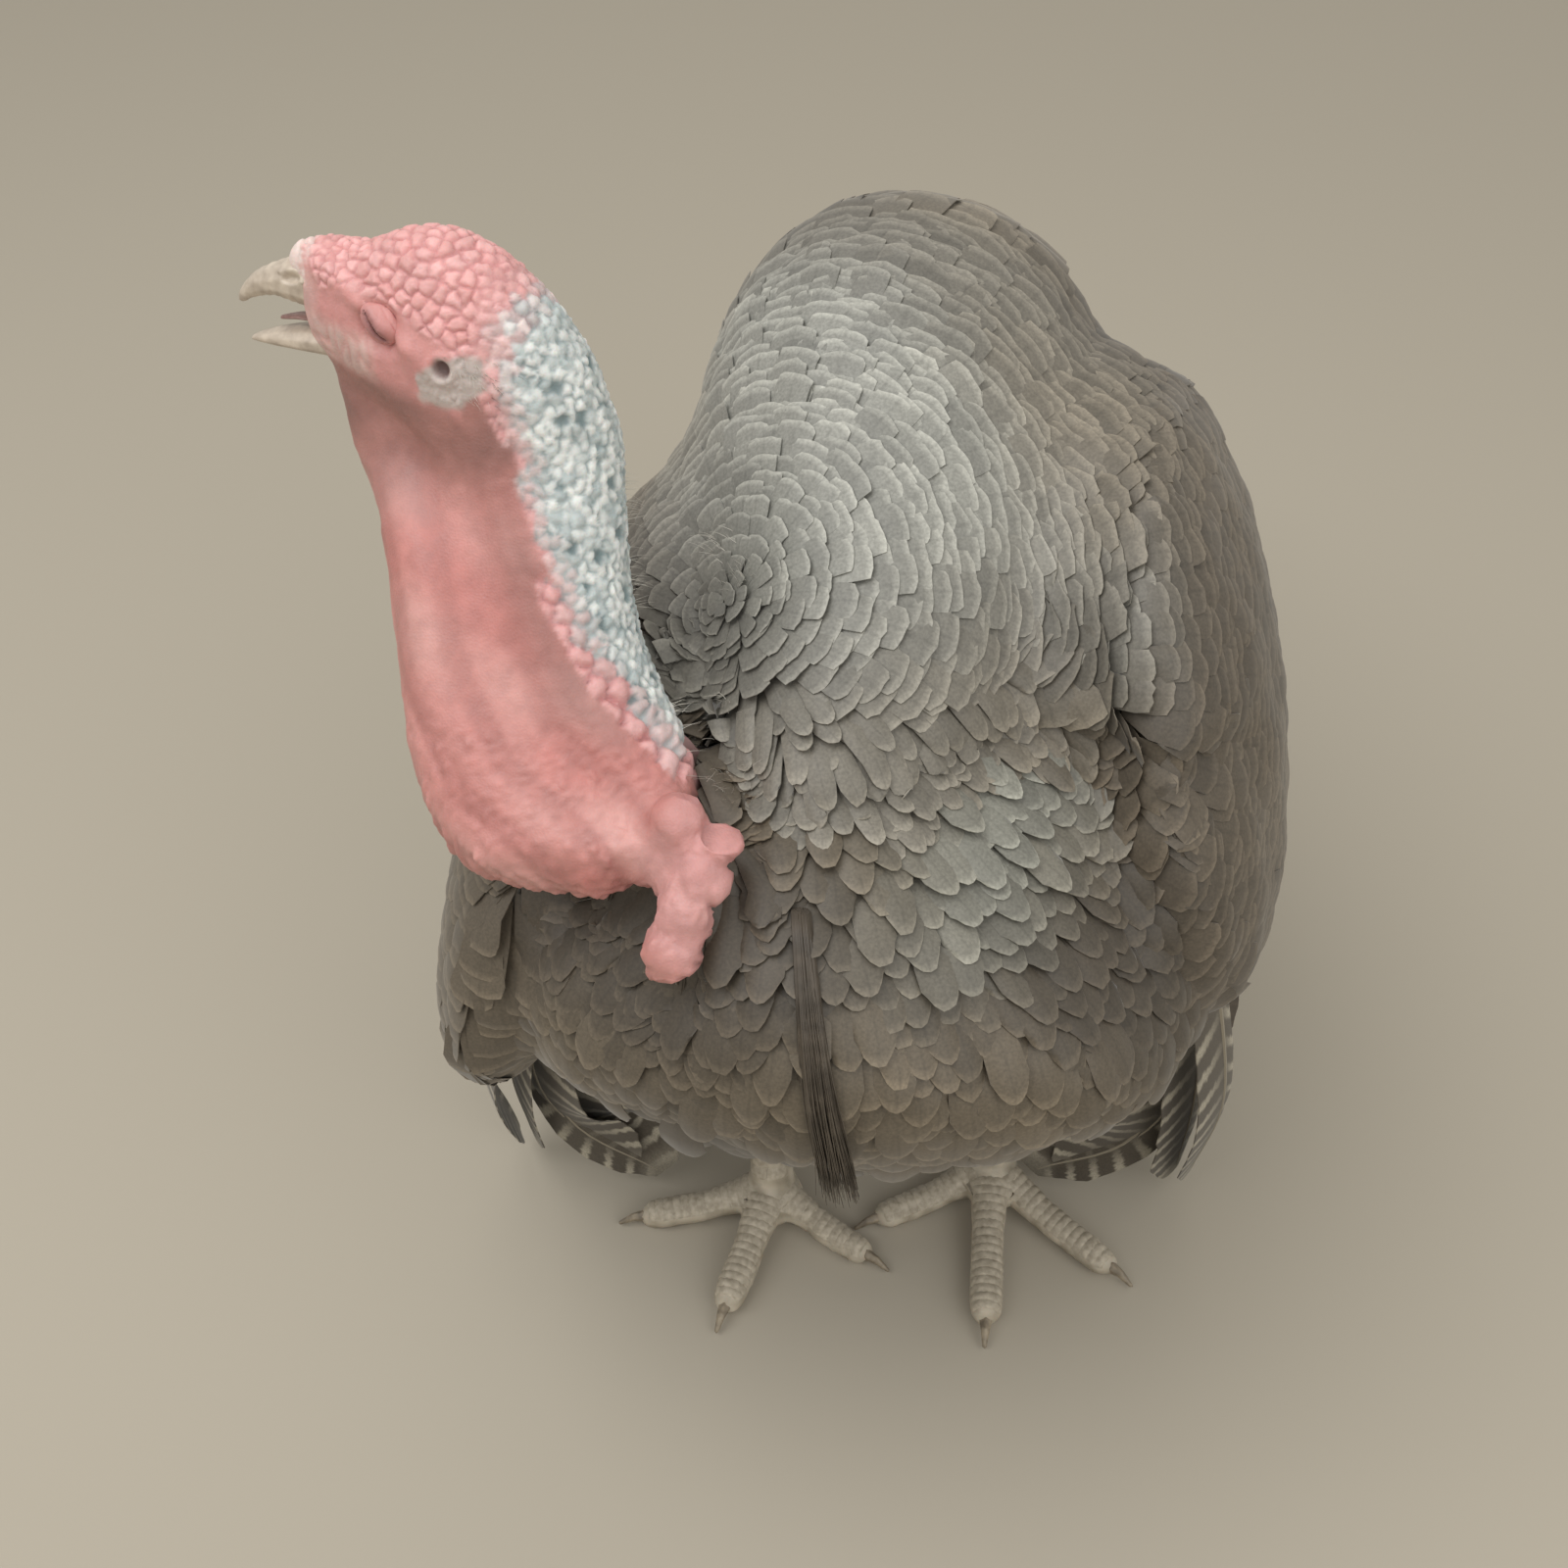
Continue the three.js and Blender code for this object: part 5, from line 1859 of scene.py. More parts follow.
    def lay(self, tract: Tract, wanted: Array, rng: Rng) -> Piece:
        """Makes one tract's feathers as one piece.

        Args:
            tract: the tract.
            wanted: which faces belong to it.
            rng: makes them uneven.

        Returns:
            The piece.
        """
        style = TRACTS[tract]
        base = self.lie.base
        depth = np.linalg.norm(base.outer - base.points, axis=1)
        bed = VaneBed()
        if tract is Tract.CAPE:
            self.whorl(bed, depth[self.lie.start], rng)
        for place, face, reach, turn in self.roots(style, wanted, rng):
            if BIRD.read(place)[1] > self.last_root:
                continue
            length = style.at(style.length, reach) * rng.uniform(0.93, 1.07) * MM
            way, normals = self.lie.glide(place, face, length, 3)
            lift = depth[base.quads[face]].mean() * rng.normal(0.97 + 0.06 * turn, style.loose)
            way = way + normals * self.heights(lift, length)[:, None]
            width = style.at(style.width, reach) * rng.uniform(0.93, 1.1) * MM
            bed.add(way, normals, width, base.bake[face].mean(axis=0))
        tints = self.tints_and_sheen.colour(tract, BIRD.read(bed.tips()))
        tints *= rng.normal(1.0, 0.1, (len(tints), 1)).clip(0.7, 1.3)
        return bed.weave(tract.value, style.shape, tints, rng)

    def build(self, material: Material) -> None:
        """Lays every tract and dresses it.

        Args:
            material: the small feathers'.
        """
        rng = np.random.default_rng(SEED)
        tract_of = self.tract_of()
        for index, tract in enumerate(Tract):
            finish_piece(self.lay(tract, tract_of == index, rng), material, TRACTS[tract].slot)


# ---------------------------------------------------------------- flight feathers, beard


def curve_through(path: Array, shares: Array) -> Array:
    """Draws a smooth curve through three or more points.

    Args:
        path: the given points.
        shares: how far along each wanted point lies, 0 to 1.

    Returns:
        The wanted points.
    """
    ends = np.vstack([2 * path[0] - path[1], path, 2 * path[-1] - path[-2]])
    at = np.clip(shares, 0, 1) * (len(path) - 1)
    i = np.minimum(at.astype(int), len(path) - 2)
    t = (at - i)[:, None]
    a, b, c, d = (ends[i + k] for k in range(4))
    square, cube = 2 * a - 5 * b + 4 * c - d, 3 * b - a - 3 * c + d
    return 0.5 * (2 * b + (c - a) * t + square * t ** 2 + cube * t ** 3)


@dataclass(frozen=True)
class Quill:
    """One flight feather.

    Args:
        path: its shaft's course, bird's frame, from the root to the tip, three points or more.
        facing: the way its upper side faces.
        width: of the whole vane, mm.
        leading: share of the width on the leading side of the shaft.
        worn: how ragged its tip and trailing edge are.
    """

    path: Array
    facing: Point
    width: float
    leading: float = 0.3
    worn: float = 1.0


@dataclass
class QuillFan:
    """A set of large feathers made as one piece.

    Args:
        name: the piece's name.
        nodes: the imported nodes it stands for.
        quills: its feathers, the one on top first.
        barring: how strongly they are barred.
        rows: rows of the mesh along each feather.
        columns: columns across.
        thickness: of the vanes, mm.
        layer: how much lower each feather lies than the one before, mm.
    """

    name: str
    nodes: tuple[str, ...]
    quills: list[Quill]
    barring: float = 1.0
    rows: int = 26
    columns: int = 9
    thickness: float = 0.6
    layer: float = 0.75

    def vane(self, quill: Quill, order: int, rng: Rng) -> tuple[Array, Array]:
        """Shapes the upper surface of one feather.

        Args:
            quill: the feather.
            order: how many feathers lie over it.
            rng: wears its edges.

        Returns:
            Its grid of points, and their own coordinates, across and along.
        """
        v = 1 - (1 - np.linspace(0, 1, self.rows)) ** 1.5
        u = np.linspace(-1, 1, self.columns)
        line = curve_through(quill.path, v)
        along, side, up = axes_along(line, np.array(quill.facing))
        swell = np.sin(np.clip((v + 0.1) / 0.95, 0, 1) * np.pi * 0.55 + 0.15)
        swell *= np.sqrt(np.clip((1.015 - v) / 0.13, 0, 1))
        swell *= ramp(-0.05, 0.16, v) * 0.75 + 0.25
        lead, trail = quill.width * quill.leading, quill.width * (1 - quill.leading)
        half = np.where(u[None, :] < 0, lead, trail) * swell[:, None]
        edge = 1 + quill.worn * rng.normal(0, 0.035, (self.rows, 1)) * (np.abs(u)[None, :] > 0.9)
        x = u[None, :] * half * edge
        swept = np.abs(u)[None, :] ** 1.6 * half * 0.28
        back = along[:, None] * swept[..., None] * (1 - v)[:, None, None]
        bow = 0.1 * half * (u[None, :] ** 2)
        surface = line[:, None] + side[:, None] * x[..., None] + back
        surface -= up[:, None] * (bow + order * self.layer)[..., None]
        own = np.stack(np.broadcast_arrays((u[None, :] + 1) / 2, v[:, None]), axis=-1)
        return surface, own

    def shaft(self, quill: Quill, order: int, sides: int = 5) -> tuple[Array, Array, Array]:
        """Shapes the pale shaft on top of one feather.

        Args:
            quill: the feather.
            order: how many feathers lie over it.
            sides: of the shaft.

        Returns:
            Its points, its faces, and the points' places on the vane.
        """
        v = np.linspace(0, 0.985, self.rows)
        line = curve_through(quill.path, v)
        _, side, up = axes_along(line, np.array(quill.facing))
        radius = (1.5 * (1 - v) ** 0.8 + 0.28)[:, None, None]
        turn = np.arange(sides) * 2 * np.pi / sides
        ring = np.cos(turn)[None, :, None] * side[:, None] + 0.7 * np.sin(turn)[None, :, None] * up[:, None]
        rings = line[:, None] + up[:, None] * (0.3 - order * self.layer) + ring * radius
        cap = self.rows * sides
        grid = np.arange(cap).reshape(self.rows, sides)
        turned = np.roll(grid, -1, axis=1)
        faces = np.stack([grid[:-1], turned[:-1], turned[1:], grid[1:]], axis=-1).reshape(-1, 4).tolist()
        faces += [[grid[0, k], cap, cap, turned[0, k]] for k in range(sides)]
        faces += [[grid[-1, k], turned[-1, k], cap + 1, cap + 1] for k in range(sides)]
        points = np.concatenate([rings.reshape(-1, 3), [rings[0].mean(axis=0), rings[-1].mean(axis=0)]])
        own = np.stack([np.full(cap, 0.5), np.repeat(v, sides)], 1)
        return points, np.array(faces), np.concatenate([own, [[0.5, 0], [0.5, 1]]])

    def build(self, material: Material) -> None:
        """Makes the piece and dresses it.

        Args:
            material: its material.
        """
        rng = np.random.default_rng(SEED + len(self.name))
        slab = slab_faces(self.rows, self.columns)
        points, faces, own, tints = [], [], [], []
        start = 0
        for order, quill in enumerate(self.quills):
            surface, at = self.vane(quill, order, rng)
            lift = unit(np.array(quill.facing)) * self.thickness / 2
            both = np.concatenate([(surface + lift).reshape(-1, 3), (surface - lift).reshape(-1, 3)])
            vane = both, slab, np.tile(at.reshape(-1, 2), (2, 1)), (0.0, rng.uniform(), self.barring)
            for part in (vane, (*self.shaft(quill, order), (1.0, 0.5, self.barring))):
                points.append(part[0])
                faces.append(part[1] + start)
                own.append(part[2])
                tints.append(np.tile(part[3], (len(part[0]), 1)))
                start += len(part[0])
        piece = mesh_piece(self.name, BIRD.place(np.concatenate(points)), np.concatenate(faces))
        paint(piece, "Part", np.concatenate(tints))
        unwrap(piece, "Vane", np.concatenate(own))
        close_up(piece, crease=40)
        finish_piece(piece, material, "flight_feathers", *self.nodes)


@dataclass(frozen=True)
class WingPlan:
    """Where one wing is and how it hangs.

    Args:
        side: sign of x.
        middle: of the folded wing's shield, mm, with x counted outwards.
        droop: how much lower its quills root than on the other wing, mm.
        shift: of the primaries' tips, mm.
        shield: half length and half height of the shield, mm.
    """

    side: int
    middle: Point
    droop: float = 0.0
    shift: Point = (0.0, 0.0, 0.0)
    shield: Pair = (142.0, 136.0)

    def quill(self, ends: tuple, out: float, facing: tuple, width: float) -> Quill:
        """Makes a quill that starts deep under the coverts.

        Args:
            ends: where it would leave them, the middle of its free part and its tip, mm, x counted outwards.
            out: how far outside the shield's middle it leaves, mm.
            facing: the way its upper side faces.
            width: of its vane, mm.

        Returns:
            The quill.
        """
        root, bend, tip = ends
        middle, shield = np.array(self.middle), np.array(self.shield)
        off = (root - middle)[1:]
        root = np.append(middle[0] + out, middle[1:] + off * min(1.0, 0.75 / np.linalg.norm(off / shield)))
        inner = root - 0.38 * (tip - root)
        inner[0] = middle[0] + 4
        path = np.array([inner, root, bend, tip]) * (self.side, 1, 1)
        return Quill(path, facing, width, 0.3 if self.side > 0 else 0.7)


@dataclass
class FlightFeathers:
    """The quills of the lowered wings and of the folded tail, with the large coverts over their bases.

    Args:
        wings: the plan of each wing.
        primary_tips: share, x, y, z of the primaries' tips, the leading one first.
        primaries: how many show.
        secondaries: how many show.
        tail_root: where the tail starts.
        tail_length: of its middle feather.
        tail_drop: below the horizontal, radians.
        tail_side: feathers on each side of the middle one.
    """

    wings: dict[str, WingPlan] = field(default_factory=lambda: {
        "left": WingPlan(1, (127, 36, 310)),
        "right": WingPlan(-1, (120, -18, 270), droop=24, shift=(2, -34, 0)),
    })
    primary_tips: tuple = (
        (0, 172, 22, 12), (0.125, 165, 20, 14), (0.25, 112, 10, 13), (0.375, 92, 5, 13), (0.5, 84, 16, 18),
        (0.65, 98, 72, 24), (0.85, 130, 122, 44), (1, 150, 150, 70),
    )
    primaries: int = 9
    secondaries: int = 9
    tail_root: Point = (0.0, 226.0, 322.0)
    tail_length: float = 385.0
    tail_drop: float = 0.36
    tail_side: int = 5

    def primary_fan(self, name: str) -> QuillFan:
        """Hangs the primaries of one wing.

        Args:
            name: of the wing.

        Returns:
            The fan.
        """
        plan = self.wings[name]
        keys = np.array(self.primary_tips, float)
        quills = []
        for t in np.linspace(0, 1, self.primaries):
            root = np.array([166 - 8 * t, -42 + 104 * t + plan.shift[1], 226 - 12 * t - plan.droop])
            tip = np.array([np.interp(t, keys[:, 0], keys[:, k]) for k in (1, 2, 3)]) + plan.shift
            tip[2] += 2
            under = math.exp(-(((t - 0.4) / 0.22) ** 2))
            bend = root + (0.55 + 0.2 * under) * (tip - root)
            bend[0] = max(164, tip[0]) + 4 - 9 * t - 20 * under
            facing = (plan.side * (1 - 0.7 * under), -0.55 + 0.25 * t - 0.5 * under, 0.1 + 0.25 * under)
            width = 28 + 16 * t + 20 * under
            quills.append(plan.quill((root, bend, tip), out=24, facing=facing, width=width))
        return QuillFan(f"primary_quills_{name}", (f"primaries_{name}",), quills)

    def secondary_fan(self, name: str) -> QuillFan:
        """Hangs the secondaries of one wing.

        Args:
            name: of the wing.

        Returns:
            The fan.
        """
        plan = self.wings[name]
        quills = []
        for t in np.linspace(0, 1, self.secondaries):
            root = np.array([160 - 34 * t, 86 + 18 * t, 222 + 130 * t - plan.droop])
            tip = np.array([148 - 56 * t, 176 + 92 * t, 94 + 182 * t - plan.droop * 0.5])
            bend = (root + tip) / 2 + (10 + 6 * t, 0, 0)
            facing = (plan.side, 0.35, 0.2)
            quills.append(plan.quill((root, bend, tip), out=12, facing=facing, width=50))
        return QuillFan(f"secondary_quills_{name}", (f"secondaries_{name}",), quills, barring=0.6)

    def greater_coverts(self, name: str, fans: list[QuillFan], share: float = 0.64) -> QuillFan:
        """The large coverts that lie over the bases of a wing's quills.

        Args:
            name: of the wing.
            fans: its quills.
            share: how far down the quills they reach.

        Returns:
            The fan.
        """
        plan = self.wings[name]
        quills = []
        for fan in fans:
            for quill in fan.quills[4 if fan is fans[0] else 0:]:
                path = curve_through(quill.path, np.linspace(0.18, share, 4)) + (plan.side * 6, 0, 0)
                quills.append(Quill(path, quill.facing, 42, leading=0.5, worn=1.4))
        return QuillFan(f"greater_coverts_{name}", (), quills, barring=0.12, columns=7)

    def tail(self) -> QuillFan:
        """Folds the tail.

        Returns:
            The fan.
        """
        level, fall = math.cos(self.tail_drop), math.sin(self.tail_drop)
        quills = []
        for rank in range(self.tail_side + 1):
            for i in sorted({-rank, rank}):
                yaw = i * 0.03
                way = np.array([math.sin(yaw), math.cos(yaw) * level, -fall])
                start = np.array(self.tail_root) + (i * 6, 0, -rank * rank * 0.4)
                length = self.tail_length - rank * rank * 1.6
                sag = [(0, 0, -26 * t * t - rank * rank * 0.3 * t) for t in (0, 0.5, 1)]
                path = start + way * length * np.array([[0], [0.5], [1]]) + sag
                quills.append(Quill(path, (i * 0.05, fall, level), 34, leading=0.5, worn=0.6))
        return QuillFan("tail_quills", ("tail_fan",), quills)

    def tail_coverts(self) -> QuillFan:
        """Lays the long coverts over the tail's base, the short ones on top.

        Returns:
            The fan.
        """
        quills = []
        for count, reach, start in ((2.5, 452, 322), (3.0, 484, 336)):
            for i in sorted(np.arange(-count, count + 1), key=abs):
                end = reach - 4.5 * i * i
                drop = 0.9 * i * i
                lie = 322 - 0.376 * (end - 226) - 26 * ((end - 226) / 360) ** 2
                path = np.array([
                    (i * 9, start, 292 - drop - 0.3 * (start - 322)), (i * 11, 378, 276 - drop),
                    (i * 13, 424, 255 - drop), (i * 16, end, lie + 5 - drop),
                ])
                quills.append(Quill(path, (i * 0.09, 0.4, 0.9), 36, leading=0.5, worn=1.2))
        return QuillFan("tail_covert_quills", (), quills, barring=0.5, columns=7)

    def build(self, wing: Material, tail: Material) -> None:
        """Makes all the fans.

        Args:
            wing: the material of the wings' quills.
            tail: the material of the tail and its coverts.
        """
        for name in SIDES:
            fans = [self.primary_fan(name), self.secondary_fan(name)]
            for fan in fans:
                fan.build(wing)
            self.greater_coverts(name, fans).build(tail)
        self.tail().build(tail)
        self.tail_coverts().build(tail)


def strands(name: str, lines: Array, radius: Array, sides: int = 3) -> Piece:
    """Many thin tapered strands as one piece.

    Args:
        name: the piece's name.
        lines: (strands, points, 3) bird millimetres.
        radius: (strands, points) millimetres.
        sides: of each strand.

    Returns:
        The piece.
    """
    _, side, up = axes_along(lines, np.array([0.31, 0.52, 0.8]), 1)
    turn = np.arange(sides) * 2 * np.pi / sides
    ring = np.cos(turn)[:, None] * side[:, :, None] + np.sin(turn)[:, None] * up[:, :, None]
    tube = lines[:, :, None] + ring * radius[:, :, None, None]
    count, rows = lines.shape[:2]
    grid = np.arange(count * rows * sides).reshape(count, rows, sides)
    turned = np.roll(grid, -1, axis=2)
    faces = np.stack([grid[:, :-1], grid[:, 1:], turned[:, 1:], turned[:, :-1]], axis=-1).reshape(-1, 4)
    work = bmesh.new()
    verts = [work.verts.new(p) for p in BIRD.place(tube.reshape(-1, 3))]
    for quad in faces.tolist():
        work.faces.new([verts[i] for i in quad])
    for strand in grid:
        work.faces.new([verts[i] for i in strand[0]])
        work.faces.new([verts[i] for i in strand[-1][::-1]])
    bmesh.ops.recalc_face_normals(work, faces=work.faces)
    mesh = bpy.data.meshes.new(name)
    work.to_mesh(mesh)
    work.free()
    piece = bpy.data.objects.new(name, mesh)
    bpy.context.collection.objects.link(piece)
    return piece


@dataclass
class Beard:
    """The tuft of coarse bristles that hangs from the breast.

    Args:
        path: its course, bird's frame.
        bristles: how many.
        spread: half width and half depth at the tip, mm.
    """

    path: tuple = ((0, -170, 352), (7, -193, 328), (13, -205, 300), (18, -208, 274), (21, -206, 249))
    bristles: int = 230
    spread: Pair = (7.0, 4.0)

    def build(self, material: Material) -> None:
        """Makes the bristles.

        Args:
            material: its material.
        """
        rng = np.random.default_rng(SEED + 5)
        v = np.linspace(0, 1, 11)
        at = rng.uniform(-1, 1, (self.bristles, 2))
        out = np.maximum(np.linalg.norm(at, axis=1, keepdims=True), 1e-6)
        at *= np.sqrt(rng.uniform(0.1, 1, (self.bristles, 1))) / out
        reach = rng.uniform(0.82, 1.0, self.bristles)
        open_up = (0.45 + 0.55 * v)[None, :, None]
        offset = np.stack([at[:, 0] * self.spread[0], at[:, 1] * self.spread[1], np.zeros(self.bristles)], 1)
        wave = rng.normal(0, 0.8, (self.bristles, 1, 3))
        wave = wave * np.sin(v * 5 + rng.uniform(0, 6, (self.bristles, 1)))[..., None]
        along = np.array([curve_through(np.array(self.path, float), v * r) for r in reach])
        lines = along + offset[:, None] * open_up + wave * v[None, :, None]
        radius = 0.42 * (1 - 0.75 * v[None, :] ** 2) * rng.uniform(0.8, 1.2, (self.bristles, 1))
        piece = strands("beard_bristles", lines, radius, 4)
        finish_piece(piece, material, "beard_bristle", "beard", smooth=True)


@dataclass(frozen=True)
class Tuft:
    """A patch of fine bristles or filaments.

    Args:
        middle: where they root, bird's frame.
        radius: of the patch, mm.
        count: how many.
        length: shortest and longest, mm.
        lean: the way they lean, bird's frame, added to the skin's own direction.
        girth: radius at the root, mm.
        pale: whether they are of the pale kind.
    """

    middle: Point
    radius: float
    count: int
    length: Pair
    lean: Point
    girth: float
    pale: bool


@dataclass
class Wisps:
    """The sparse bristles about the ear and the neck's foot, and the loose filaments at the mantle's start.

    Args:
        tufts: all of them.
    """

    tufts: tuple[Tuft, ...] = (
        Tuft((-118, -106, 503), 9, 40, (3, 6), (0.9, -0.1, -0.2), 0.1, True),
        Tuft((-112, -102, 500), 6, 10, (3, 6), (1.2, 0.0, -0.3), 0.08, False),
        Tuft((-31, -133, 374), 10, 26, (5, 10), (0.5, -0.7, 0.5), 0.12, True),
        Tuft((-44, -112, 388), 9, 22, (5, 9), (0.6, 0.0, 0.3), 0.12, True),
        Tuft((-74, -84, 452), 9, 22, (4, 8), (0.8, 0.5, 0.1), 0.11, True),
        Tuft((-66, -84, 420), 10, 22, (4, 9), (0.8, 0.4, 0.0), 0.11, True),
        Tuft((-42, -70, 415), 8, 22, (5, 10), (0.5, -0.3, 0.4), 0.12, True),
        Tuft((-52, -50, 410), 10, 20, (5, 11), (-0.7, 0.2, 0.3), 0.12, True),
    )

    def build(self, trees: list[BVHTree], pale: Material, dark: Material) -> None:
        """Makes the pale ones as one piece and the dark ones as another.

        Args:
            trees: the surfaces they root on.
            pale: the material of the pale ones.
            dark: the material of the dark ones.
        """
        rng = np.random.default_rng(SEED + 9)
        v = np.linspace(0, 1, 6)
        for name, wanted, material in (("pale_filaments", True, pale), ("dark_bristles", False, dark)):
            lines, girths = [], []
            for tuft in (t for t in self.tufts if t.pale == wanted):
                for _ in range(tuft.count):
                    near = np.array(tuft.middle) + rng.normal(0, tuft.radius / 2, 3)
                    hits = [tree.find_nearest(Vector(BIRD.place(near))) for tree in trees]
                    hit = min(hits, key=lambda h: h[3])
                    root, normal = BIRD.read(np.array(hit[0])), np.array(hit[1])
                    way = unit(normal + np.array(tuft.lean) + rng.normal(0, 0.22, 3))
                    bow = rng.normal(0, 0.12, 3) + np.array([0, 0, -0.2])
                    reach = rng.uniform(*tuft.length)
                    course = way * (reach * v)[:, None]
                    lines.append(root - normal * 0.5 + course + bow * (reach * v ** 2)[:, None])
                    girths.append(tuft.girth * (1 - 0.85 * v))
            finish_piece(strands(name, np.array(lines), np.array(girths)), material, "nape_skin")


# ---------------------------------------------------------------- horn, eyes, scutes


@dataclass(frozen=True)
class HornPiece:
    """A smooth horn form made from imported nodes.

    Args:
        name: the piece's name.
        nodes: the nodes it is made from and stands for.
        slot: the material slot.
        grid: of the mesh, mm.
        rounds: how much it is smoothed.
    """

    name: str
    nodes: tuple[str, ...]
    slot: str
    grid: float = 0.8
    rounds: int = 10

    def build(self, material: Material, shape: Callable | None = None) -> None:
        """Makes the piece and dresses it.

        Args:
            material: its material.
            shape: turns its points and normals into new points, for an extra form.
        """
        piece = copy_of(self.name, list(self.nodes))
        apply_modifier(piece, "REMESH", mode="VOXEL", voxel_size=self.grid * MM)
        move_points(piece, relax(points_of(piece), edges_of(piece), self.rounds, 1.0, pull=0.6, push=-0.61))
        if shape:
            move_points(piece, shape(points_of(piece), normals_of(piece)))
        finish_piece(piece, material, self.slot, *self.nodes, smooth=True)


@dataclass
class Bill:
    """The hooked bill: nostrils under their flaps, a growth-lined horn sheath, and the tongue.

    Args:
        nostril: the left one's middle, in the head's frame.
    """

    nostril: Point = (10.0, 13.0, 5.6)

    def shape_upper(self, points: Array, normals: Array) -> Array:
        """Sinks the nostrils under their flaps and draws the growth lines.

        Args:
            points: of the upper half, metres.
            normals: outward directions there.

        Returns:
            The new points.
        """
        local = HEAD.read(BIRD.read(points))
        ahead, left, high = local.T
        past = ahead - self.nostril[0]
        slot = np.hypot(past / 3.6, (high - self.nostril[1] + 0.25 * past) / 1.7)
        side = np.abs(left) > 2
        sink = 1.9 * ramp(1.15, 0.6, slot) * side
        flap = 0.7 * bell(slot, 1.5, 0.35) * (high > self.nostril[1]) * side
        lines = 0.08 * np.sin(ahead * 2.1 + high * 0.6)
        return points + normals * ((flap - sink + lines)[:, None] * MM)

    def build(self, horn: Material, flesh: Material) -> None:
        """Makes both halves and the tongue.

        Args:
            horn: the sheaths' material.
            flesh: the tongue's.
        """
        upper = HornPiece("upper_bill_sheath", ("bill_upper",), "bill_horn", grid=0.6, rounds=8)
        upper.build(horn, self.shape_upper)
        HornPiece("lower_bill_sheath", ("bill_lower",), "bill_horn", grid=0.6, rounds=8).build(horn)
        HornPiece("tongue_flesh", ("tongue",), "mouth_skin", grid=0.5, rounds=6).build(flesh)


@dataclass
class Eyes:
    """The eyeballs behind their lids.

    Args:
        bulge: how far their clear front stands out, mm.
        pupil: where the iris starts, degrees from straight out.
        iris: where it ends.
    """

    bulge: float = 0.35
    pupil: float = 15.0
    iris: float = 34.0

    def build(self, material: Material) -> None:
        """Makes each eyeball with its clear bulge, pupil and iris.

        Args:
            material: their material.
        """
        for side, sign in zip(SIDES, (1, -1)):
            ahead, left, high = HEAD.eye
            centre = HEAD.place(np.array([ahead, sign * left, high]))
            bpy.ops.object.select_all(action="DESELECT")
            bpy.ops.mesh.primitive_uv_sphere_add(
                segments=48, ring_count=32, radius=HEAD.eye_radius * MM, location=centre,
            )
            piece = bpy.context.view_layer.objects.active
            piece.name = piece.data.name = f"eyeball_{side}"
            bpy.ops.object.transform_apply(location=True, rotation=True, scale=True)
            points = points_of(piece)
            out = HEAD.axes()[1] * sign
            way = unit(points - centre)
            turn = np.degrees(np.arccos((way @ out).clip(-1, 1)))
            rise = self.bulge * ramp(42, 20, turn)
            move_points(piece, points + way * (rise * MM)[:, None])
            colour = blend(rgb("1a1310"), rgb("3f2a1d"), ramp(self.pupil, self.pupil + 3, turn))
            colour = blend(colour, rgb("241a14"), ramp(self.iris, self.iris + 6, turn))
            paint(piece, "Tint", colour)
            finish_piece(piece, material, "eye", f"eye_{side}", smooth=True)


